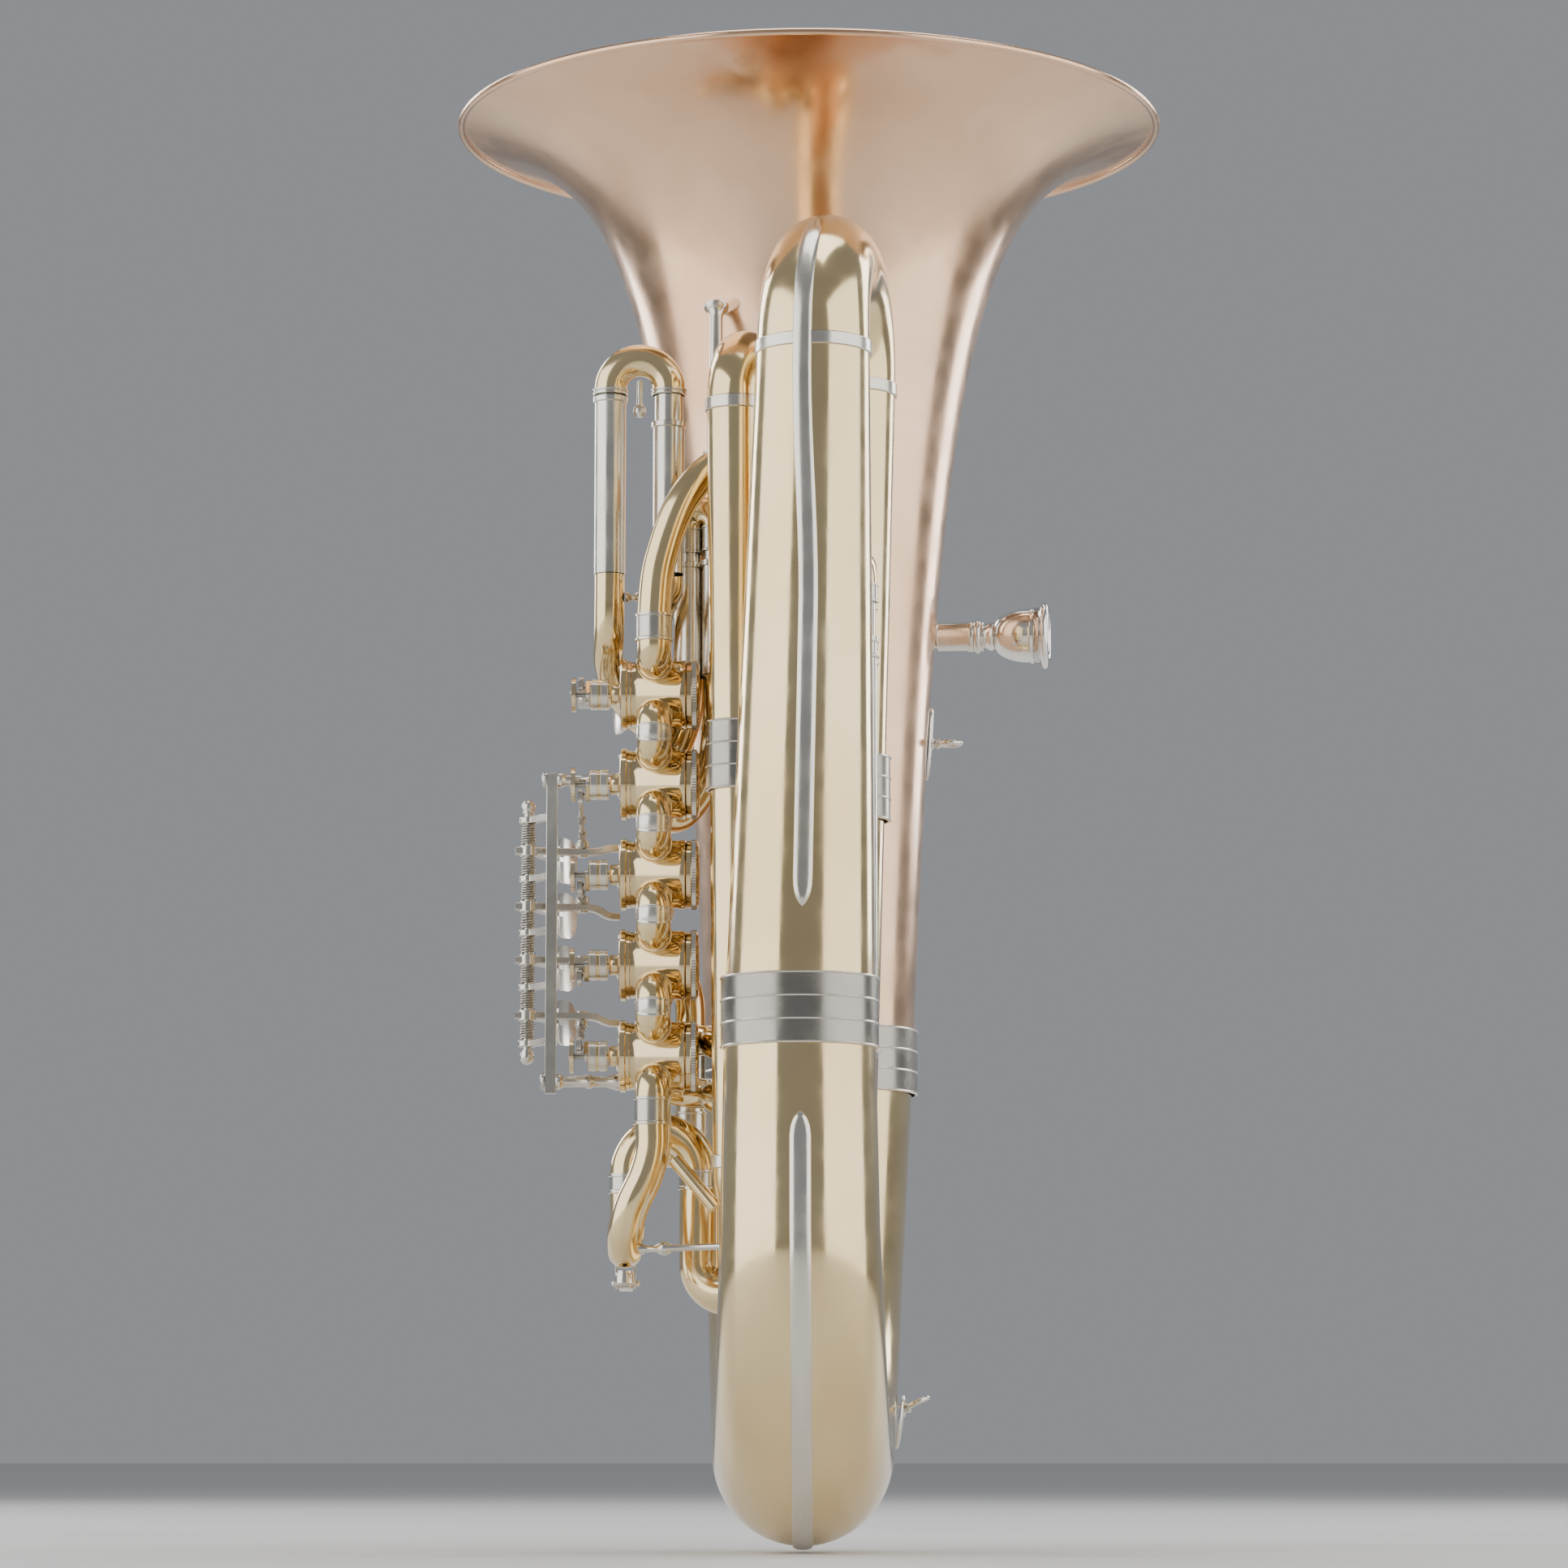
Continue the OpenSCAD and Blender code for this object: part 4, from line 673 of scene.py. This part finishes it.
def levers():
    for n, z in LEVER_Z.items():
        lever = Piece(f"finger_lever_{n}", f"lever_{n}").use(NICKEL)
        lever.shell([(3.8, -2.5), (4.2, -2.1), (4.2, 2.1), (3.8, 2.5)], [(2.06, -2.5), (2.06, 2.5)],
                    HINGE + Z * z, n=40)
        hinge = HINGE + Z * z
        out = Vector((math.cos(REST), math.sin(REST), 0))
        step = LEVER_END_STEP[n]
        reach = [(-6, 0), (0, 0), (8, 0), (18, 0), (27, 0), (30, 0.08), (33, 0.35), (35.5, 0.75),
                 (38, 0.97), (42, 1)]
        flat_bar(lever, [hinge + out * r + Z * step * s for r, s in reach], 6, 3)
        finger = Vector((math.cos(FINGER), math.sin(FINGER), 0))
        flat_bar(lever, [hinge + finger * r for r in (2, 12, 22, 31, 36)], 5, 2.6)
        spatula(lever, hinge + finger * 40 + finger.cross(Z) * 1.0, finger, 22, 21)
        side = 1 if VALVE_Z[n] > z else -1
        stud = hinge + out * LINK_ARM
        lever.lathe([(2.3, -2.4), (2.6, -2.1), (2.6, -1.4), (1.2, -1.4), (1.2, 4.6), (2.3, 4.6), (2.4, 5.0),
                     (2.2, 5.5), (0, 5.7)], stud, side * Z, 28)
        lever.done(f"lever_{n}")
        eye(n, stud + Z * side * EYE_RISE)

    thumb = Piece("thumb_spatula", "thumb_lever").use(NICKEL)
    thumb.shell([(4.0, -1.5), (4.4, -1.1), (4.4, 2.1), (4.0, 2.5)], [(1.56, -1.5), (1.56, 2.5)], THUMB,
                n=40)
    arm = Vector((-math.cos(REST), math.sin(REST), 0))
    flat_bar(thumb, [THUMB + arm * r for r in (3, 12, 20, 28)], 6, 3)
    finger = Vector((math.cos(THUMB_FINGER), math.sin(THUMB_FINGER), 0))
    flat_bar(thumb, [THUMB + finger * r for r in (3, 12, 20, 27)], 5, 2.6)
    spatula(thumb, THUMB + finger * 34 - Z * 2, finger, 20, 15)
    stud = THUMB + arm * LINK_ARM
    thumb.lathe([(1.2, 0), (1.2, 4.6), (2.3, 4.6), (2.4, 5.0), (2.2, 5.5), (0, 5.7)], stud, Z, 28)
    thumb.done("thumb_lever")
    eye(5, stud + Z * EYE_RISE)
    mount = Piece("thumb_bracket").use(NICKEL)
    knee = Vector((-66, -20, VALVE_Z[5]))
    foot = Vector((THUMB.x, THUMB.y, VALVE_Z[5]))
    start = Vector((-66, FAR_Y - 1.2, VALVE_Z[5]))
    mount.sweep(spline([start, start.lerp(knee, 0.7), knee.lerp(foot, 0.15), foot]), 1.6, 20)
    mount.lathe([(0, -4), (3.0, -4), (3.4, -3.6), (3.4, 1.6), (3.0, 2.0), (1.5, 2.0), (1.5, 7.6), (1.1, 8),
                 (0, 8)],
                foot, n=32)
    mount.done("thumb_lever_mount")


def eye(n, stud):
    """The link from a lever's stud to the ball on its rotor's crank."""
    pin = Vector((stud.x, VALVE_Y + CRANK_BALL, VALVE_Z[n] + crank_way(n) * CRANK_BALL))
    along = (pin - stud).normalized()
    link = Piece(f"rocker_link_{n}", f"link_{n}").use(NICKEL)
    link.shell([(2.9, -1.3), (3.2, -1.0), (3.2, 1.0), (2.9, 1.3)], [(1.26, -1.3), (1.26, 1.3)], stud, n=32)
    length = (pin - stud).length
    link.rod(stud + 2.6 * along, pin - 2.3 * along, 1.1, 20)
    for near, far in ((0.16, 0.27), (0.46, 0.57)):
        nut = length * (far - near)
        link.use(STEEL).lathe([(1.2, 0), (2.0, 0.2), (2.0, nut - 0.2), (1.2, nut)],
                              stud + along * length * near, along, 6)
    link.use(NICKEL)
    slot_end = Vector((0, 0, crank_way(n) * 2))
    outline, hole = [], []
    for k in range(48):
        w = 2 * math.pi * k / 48
        direction = Vector((0, math.cos(w), math.sin(w)))
        middle = pin + (slot_end if direction.dot(slot_end) > 0 else Vector())
        outline.append(middle + 2.7 * direction)
        hole.append(middle + 1.85 * direction)
    rings = [[p + X * h for p in edge] for edge, h in ((outline, -1.0), (outline, 1.0), (hole, 1.2),
                                                       (hole, -1.2))]
    link.skin(rings, loop=True)
    link.done(f"link_{n}")


def carriage():
    rod = Piece("hinge_shaft").use(NICKEL)
    rod.lathe([(2, 221), (2, 335)], HINGE, n=24)
    for z, way in ((220.5, -1), (335.5, 1)):
        rod.lathe([(2.2, -3.4), (2.9, -3.2), (2.9, -2.4), (3.1, -1.6), (3.4, -0.3), (3.0, 1.3), (2.0, 2.5),
                   (0.8, 3.1), (0, 3.3)], HINGE + Z * z, way * Z, 32)
    rod.done("hinge_rod")

    bar = Piece("carriage_plate").use(NICKEL)
    bar.slab((BAR_X, BAR_Y, (203 + 348.5) / 2), (5, 6, 145.5))
    reach = HINGE - Vector((BAR_X, BAR_Y, 0))
    turn = math.atan2(reach.y, reach.x)
    for z in BRACKET_Z:
        middle = Vector((BAR_X, BAR_Y, z)) + reach * 0.44
        bar.slab(middle, (reach.length * 0.84, 4, 3), turn)
        bar.shell([(3.9, -1.5), (4.2, -1.2), (4.2, 1.2), (3.9, 1.5)], [(2.05, -1.5), (2.05, 1.5)],
                  HINGE + Z * z, n=40)
    bar.done("carriage_bar", bevel=0.5)

    posts = Piece("carriage_pillars").use(NICKEL)
    for z in POST_Z:
        start = BAR_X + 2.5
        span = CASING_FACE - start
        posts.lathe([(3.4, 0), (3.6, 0.4), (3.6, 1.8), (2.9, 2.4), (2.5, 4), (2.5, span * 0.45),
                     (3.2, span * 0.48), (3.2, span * 0.54), (2.5, span * 0.57), (2.5, span - 6),
                     (3.1, span - 4.6), (4.1, span - 1.6), (4.2, span - 0.1)], (start, BAR_Y, z), X, 36)
    posts.done("carriage_posts")
    heads = Piece("carriage_screw_heads").use(STEEL)
    for z in POST_Z:
        heads.lathe([(3.9, 0), (3.9, 1.2), (3.4, 1.9), (2.2, 2.3), (0, 2.4)], (BAR_X - 2.5, BAR_Y, z), -X,
                    36)
    heads.done("carriage_screws")

    coils = Piece("return_springs").use(STEEL)
    for n, z in LEVER_Z.items():
        for low, high in ((z + 3.0, BRACKET_Z[n - 1] - 2.0), (BRACKET_Z[n] + 2.0, z - 3.0)):
            turns = round((high - low) / 1.15)
            steps = turns * 16
            coils.sweep([HINGE + Vector((3.1 * math.cos(2 * math.pi * turns * i / steps),
                                         3.1 * math.sin(2 * math.pi * turns * i / steps),
                                         lerp(low, high, i / steps))) for i in range(steps + 1)], 0.42, 8)
    coils.done("lever_springs", slot="spring")


# ---------------------------------------------------------------- slides
# Both ends of the bow, its height, up or down, its radius, the length of its legs and of its collars.
SLIDES = {
    1: ((-55, -36), (-42, -44), 464, 1, 7.0, 62, 12),
    3: ((-72, -14), (-55, -12), 187.5, -1, 7.0, 38, 10),
    4: ((22, -127), (22, -108), 421.8, 1, 7.2, 160, 8.1),
    5: ((-91.2, -58), (-64.5, -58), 525, 1, 7.4, 78, 3),
}


def slides():
    for n, (a, b, z, up, r, leg, collar) in SLIDES.items():
        slide = Piece(f"tuning_slide_{n}", f"slide_{n}")
        slide.use(BRASS).sweep(half_bend(a, b, z, up), r, 44)
        for x, y in (a, b):
            slide.use(NICKEL).shell(*lipped(r - 0.2, r + 0.35, collar, 0.4, 0.9), (x, y, z), -up * Z, 48)
            slide.use(NICKEL).shell([(LEG_OUT_R, 0), (LEG_OUT_R, leg)], [(LEG_IN_R, 0), (LEG_IN_R, leg)],
                                    (x, y, z), -up * Z, 44)
        if n == 5:
            slide.use(NICKEL)
            knob = Vector(((a[0] + b[0]) / 2, a[1], 0))
            slide.lathe([(0, 511.6), (1.8, 512), (2.8, 513.6), (3.1, 515), (2.6, 516.6), (1.5, 517.6),
                         (1.3, 521), (1.3, 529)], knob, Z, 32)
        slide.done(f"slide_{n}", slot="yellow_brass")

    second = Piece("tuning_slide_2", "slide_2").use(BRASS)
    turns = [math.pi * i / 32 for i in range(33)]
    bow_y = -14
    second.sweep([Vector((VALVE_X, bow_y + PORT_Z * math.sin(w),
                          VALVE_Z[2] + PORT_Z * math.cos(w))) for w in turns],
                 7, 44)
    second.use(NICKEL)
    for side in (-1, 1):
        foot = (VALVE_X, bow_y, VALVE_Z[2] + side * PORT_Z)
        second.shell(*lipped(6.8, 7.35, 6, 0.4, 0.9), foot, -Y, 48)
        second.shell([(LEG_OUT_R, 0), (LEG_OUT_R, 24)], [(LEG_IN_R, 0), (LEG_IN_R, 24)], foot, -Y, 44)
    second.lathe([(0, 0), (2.2, 0.4), (2.8, 2), (2.0, 3.6), (1.3, 4.4), (1.3, 7)],
                 (VALVE_X, bow_y - 2, VALVE_Z[2]), Y, 24)
    second.done("slide_2", slot="yellow_brass")

    sleeves = Piece("slide_outer_sleeves").use(NICKEL)

    def sleeve(x, y, low, high, ring):
        sleeves.shell([(SLEEVE_OUT_R, low), (SLEEVE_OUT_R, high)],
                      [(SLEEVE_IN_R, low), (SLEEVE_IN_R, high)], (x, y, 0), n=48)
        sleeves.shell([(7.3, ring), (8.0, ring + 0.4), (8.0, ring + 2.6), (7.3, ring + 3)],
                      [(6.6, ring), (6.6, ring + 3)], (x, y, 0), n=48)

    for x, y in SLIDES[1][:2]:
        sleeve(x, y, 395, 448, 445)
    for x, y in SLIDES[3][:2]:
        sleeve(x, y, 201, 229, 201)
    for x, y in SLIDES[4][:2]:
        sleeve(x, y, 213, 398.6, 395.6)
        sleeves.torus((x, y, 389.5), Z, 7.3, 0.9, 48, 12)
        sleeves.torus((x, y, 216), Z, 7.3, 0.9, 48, 12)
    sleeve(*SLIDES[5][0], 439, 521.5, 518.5)
    sleeve(*SLIDES[5][1], 439, 509.6, 506.6)
    for side in (-1, 1):
        at = (VALVE_X, FAR_Y + 0.1, VALVE_Z[2] + side * PORT_Z)
        sleeves.shell(*lipped(SLEEVE_IN_R, SLEEVE_OUT_R, 22, 0.7, 2.2), at, Y, 48)
    sleeves.done("slide_sleeves")


def valve_tubing():
    up = {n: z + PORT_Z for n, z in VALVE_Z.items()}
    low = {n: z - PORT_Z for n, z in VALVE_Z.items()}
    y = FAR_Y + 0.1
    runs = [
        [(VALVE_X, y, up[5]), (-70, -36, 396.5), (-70.5, -31, 405), (-70.5, -36, 417), (-68, -48, 426),
         (-64.8, -56, 432), (-64.5, -58, 438.6)],
        [(VALVE_X, y, low[5]), (-71, -37, 371), (-78, -29, 377), (-88, -31, 390), (-92, -42, 401),
         (-91.5, -54, 411), (-91.2, -58, 424), (-91.2, -58, 438.6)],
        [(VALVE_X, y, up[1]), (-69, -35, 354.5), (-62, -29, 362), (-56, -33, 378), (-55, -36, 394.6)],
        [(VALVE_X, y, low[1]), (-69, -35, 330), (-58, -28, 333), (-46, -34, 350), (-42, -43, 375),
         (-42, -44, 394.6)],
        [(VALVE_X, y, low[3]), (-70.5, -36, 247), (-72, -19, 243), (-72, -14, 229.4)],
        [(VALVE_X, y, up[3]), (-69, -35, 272), (-62, -24, 267), (-55.5, -14, 250), (-55, -12, 229.4)],
        [(VALVE_X, y, up[4]), (-68, -36, 231), (-55, -32, 229), (-44, -45, 227), (-41.5, -62.2, 224),
         (-28, -78.3, 219), (-18, -82, 214), (-9, -90, 208), (3, -103, 200), (14, -108, 196),
         (21.5, -108, 203), (22, -108, 212.6)],
        [(VALVE_X, y, low[4]), (-68, -36, 206.5), (-55, -32, 205), (-44, -45, 203), (-41.4, -62.2, 200),
         (-28, -78.6, 195), (-18, -82, 190), (-9, -91, 184), (3, -106, 180), (14, -120, 181),
         (21, -127, 192), (22, -127, 212.6)],
    ]
    tubing = Piece("valve_tubes")
    for run in runs:
        path = spline(run)
        tubing.use(BRASS).sweep(path, TUBING_R, 36)
        start = (path[1] - path[0]).normalized()
        tubing.use(NICKEL).shell(*lipped(TUBING_R, 7.3, 5, 0.4, 0.9), path[0] + start * 0.2, start, 40)
    tubing.done("valve_tubing", slot="yellow_brass")


# ---------------------------------------------------------------- fittings
def strap_plate(piece, centre, out, half, wide, lean=0.0):
    """An oval plate with a rounded edge lying against a tube; out is its outward direction."""
    up = (Z * math.cos(lean) + out * math.sin(lean)).normalized()
    across = out.cross(up).normalized()
    normal = up.cross(across) if up.cross(across).dot(out) > 0 else across.cross(up)
    rings = []
    for q, h in ((1, 0), (1, 0.7), (0.93, 1.3), (0.8, 1.6), (0.4, 1.8), (0.001, 1.9)):
        rings.append([centre + up * q * half * math.cos(w) + across * q * wide * math.sin(w) + normal * h
                      - normal * (wide * q * math.sin(w)) ** 2 / 110
                      for w in (2 * math.pi * k / 48 for k in range(48))])
    return piece.skin(rings)


def strap_rings():
    rings = Piece("strap_eyes").use(NICKEL)
    z = 374
    r = bell_r(z)
    lean = math.atan((bell_r(z + 17) - bell_r(z - 17)) / 34)
    strap_plate(rings, Vector((r + 0.25, BELL_Y, z)), X, 17.5, 6, lean)
    neck = [(3.6, 0), (3.0, 0.8), (1.9, 1.6), (1.9, 2.2), (2.5, 2.8), (2.6, 3.6), (2.0, 4.4), (0, 4.8)]
    rings.lathe(neck, (r + 1.4, BELL_Y, z), X, 28)
    rings.torus((r + 10.3, BELL_Y, z), Z, 5.1, 1.25, 64, 18)
    strap_plate(rings, Vector((40.7, 0, 57)), X, 12.5, 6, math.radians(8))
    tilt = Vector((math.cos(math.radians(25)), 0, math.sin(math.radians(25))))
    rings.lathe(neck, Vector((41.6, 0, 62)), tilt, 28)
    rings.torus(Vector((41, 0, 62)) + tilt * 8.9, Vector((-tilt.z, 0, tilt.x)), 5.1, 1.25, 64, 18)
    rings.done("strap_rings")


def stays():
    rod = Piece("braces").use(NICKEL)
    low, high = Vector((-43, -74.85, 491.5)), Vector((-43, BELL_Y - 76, 566))
    axis = (high - low).normalized()
    length = (high - low).length
    rod.lathe([(5.5, -1.5), (5.7, -0.4), (4.2, 0.6), (3.4, 2.2), (3.0, 4.5), (3.0, length - 6),
               (3.4, length - 3.5), (4.2, length - 2), (5.6, length - 0.6),
               (5.8, length + 0.6)], low, axis, 36)
    rod.use(BRASS).rod((-60, -90, 171), (-42, -95.4, 149.3), 3.2)
    a, b = Vector((-75.1, -79.35, 132)), Vector((-29, -96.8, 132.8))
    length = (b - a).length
    rod.use(NICKEL).lathe([(2.6, 0), (2.4, 1), (1.5, 2.4), (1.5, 7.2), (2.2, 8.2), (3.1, 10.4), (3.1, 11.6),
                           (2.2, 13.8), (1.5, 14.8), (1.5, length - 2.4), (2.4, length - 1),
                           (2.6, length)], a, b - a, 28)
    a, b = Vector((-83.8, -58, 428.5)), Vector((-71.9, -58, 428.5))
    rod.lathe([(2.6, 0), (1.6, 2), (1.6, 4.4), (2.5, 5.4), (2.5, 6.5), (1.6, 7.5), (1.6, 9.9), (2.6, 11.9)],
              a, X, 24)
    rod.done("stays", slot="yellow_brass")


def water_key():
    key = Piece("spit_key", "water_key").use(NICKEL)
    x, cup_y, hinge_y, hinge_z = -82.5, -70, -57, 117.5
    key.lathe([(0, 0), (3.4, 0), (4.2, 0.7), (4.2, 4.6), (3.9, 5.2), (3.6, 5.2), (3.6, 6.2), (0, 6.2)],
              (x, cup_y, 116.6), n=40)
    flat_bar(key, [(x, cup_y, 116.2), (x, -64, 116.0), (x, hinge_y - 2, 116.2)], 3.4, 1.6)
    key.shell([(2.2, -2.5), (2.4, -2.2), (2.4, 2.2), (2.2, 2.5)], [(1.06, -2.5), (1.06, 2.5)],
              (x, hinge_y, hinge_z), X, 32)
    flat_bar(key, [(x, hinge_y + 1.5, 116.4), (x, -52, 115.8), (x, -47, 115.2), (x, -43.2, 115.4)], 6, 1.5)
    key.done("water_key")

    saddle = Piece("key_saddle").use(NICKEL)
    low, top_out, top_in = hinge_z - 2.2, 126.3, 128.6
    for side in (-1, 1):
        inner, outer = x + side * 3.4, x + side * 4.6
        outline = [(hinge_y - 2.2, low + 1), (hinge_y - 1.2, low), (hinge_y + 1.2, low),
                   (hinge_y + 2.2, low + 1), (hinge_y + 2.2, top_in), (hinge_y - 2.2, top_out)]
        saddle.skin([[Vector((px, y, z)) for y, z in outline] for px in (inner, outer)])
    saddle.rod((x - 5.2, hinge_y, hinge_z), (x + 5.2, hinge_y, hinge_z), 1.0)
    for side in (-1, 1):
        saddle.ball((x + side * 5.1, hinge_y, hinge_z), 1.3, 20)
        coil = [Vector((x + side * (2.75 + 0.5 * i / 40), hinge_y + 1.9 * math.cos(2 * math.pi * i / 20),
                        hinge_z + 1.9 * math.sin(2 * math.pi * i / 20))) for i in range(41)]
        saddle.use(STEEL).sweep(coil, 0.3, 8).use(NICKEL)
    saddle.done("water_key_mount", bevel=0.2)


bell()
wide_tubing()
guards()
leadpipe()
outlet()
valves()
levers()
carriage()
slides()
valve_tubing()
strap_rings()
stays()
water_key()

# The rotors keep their CAD shape and take the turned brass.
for n in range(1, 6):
    for material_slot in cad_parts[f"rotor_{n}"].material_slots:
        material_slot.material = TURNED


# ---------------------------------------------------------------- stage, camera and light
def stage_plane(name, centre, size, mat):
    mesh = bpy.data.meshes.new(name)
    w, h = size[0] / 2, size[1] / 2
    mesh.from_pydata([(-w, -h, 0), (w, -h, 0), (w, h, 0), (-w, h, 0)], [], [(0, 1, 2, 3)])
    mesh.materials.append(mat)
    obj = bpy.data.objects.new(name, mesh)
    obj.location = centre
    bpy.context.scene.collection.objects.link(obj)


def floor_material():
    mat = bpy.data.materials.new("pale_floor")
    mat.use_nodes = True
    nodes, links = mat.node_tree.nodes, mat.node_tree.links
    shader = nodes["Principled BSDF"]
    shader.inputs["Base Color"].default_value = (0.72, 0.71, 0.69, 1)
    coords = nodes.new("ShaderNodeTexCoord").outputs["Object"]
    links.new(ramp(nodes, links, noise(nodes, links, coords, 3, 4), 0.5, 0.6), shader.inputs["Roughness"])
    return mat


stage_plane("floor", (0, 0, -0.001), (200, 200), floor_material())


def area_light(name, place, target, size, power):
    data = bpy.data.lights.new(name, "AREA")
    data.shape, data.size, data.size_y = "RECTANGLE", size[0], size[1]
    data.energy = power
    obj = bpy.data.objects.new(name, data)
    obj.location = place
    obj.rotation_euler = (Vector(target) - Vector(place)).to_track_quat("-Z", "Y").to_euler()
    obj.visible_camera = False
    bpy.context.scene.collection.objects.link(obj)


# Lights: where each stands and how wide and high it is, in metres, and its power in watts.
MIDDLE = (0, 0, 0.34)
area_light("left_softbox", (-1.85, -0.75, 0.8), MIDDLE, (2.9, 2.4), 48)
area_light("right_softbox", (1.85, -0.75, 0.8), MIDDLE, (2.9, 2.4), 44)
area_light("top", (0.1, 0.2, 2.6), MIDDLE, (1.6, 1.6), 26)
area_light("back_left", (-1.6, 1.8, 1.4), MIDDLE, (0.8, 1.6), 22)
area_light("back_right", (1.7, 1.7, 1.3), MIDDLE, (0.8, 1.6), 20)

world = bpy.data.worlds.new("studio")
world.use_nodes = True
world.node_tree.nodes["Background"].inputs["Color"].default_value = (0.80, 0.83, 0.88, 1)
world.node_tree.nodes["Background"].inputs["Strength"].default_value = 0.35
bpy.context.scene.world = world

SENSOR_MM, LENS_MM = 36, 111.8
CAMERA_PLACE = (-0.0118, -2.241, 0.039)
CAMERA_TILT = 7.92
camera_data = bpy.data.cameras.new("camera")
camera_data.sensor_width, camera_data.lens = SENSOR_MM, LENS_MM
camera = bpy.data.objects.new("camera", camera_data)
camera.location = CAMERA_PLACE
camera.rotation_euler = (math.radians(90 + CAMERA_TILT), 0, 0)
bpy.context.scene.collection.objects.link(camera)
bpy.context.scene.camera = camera
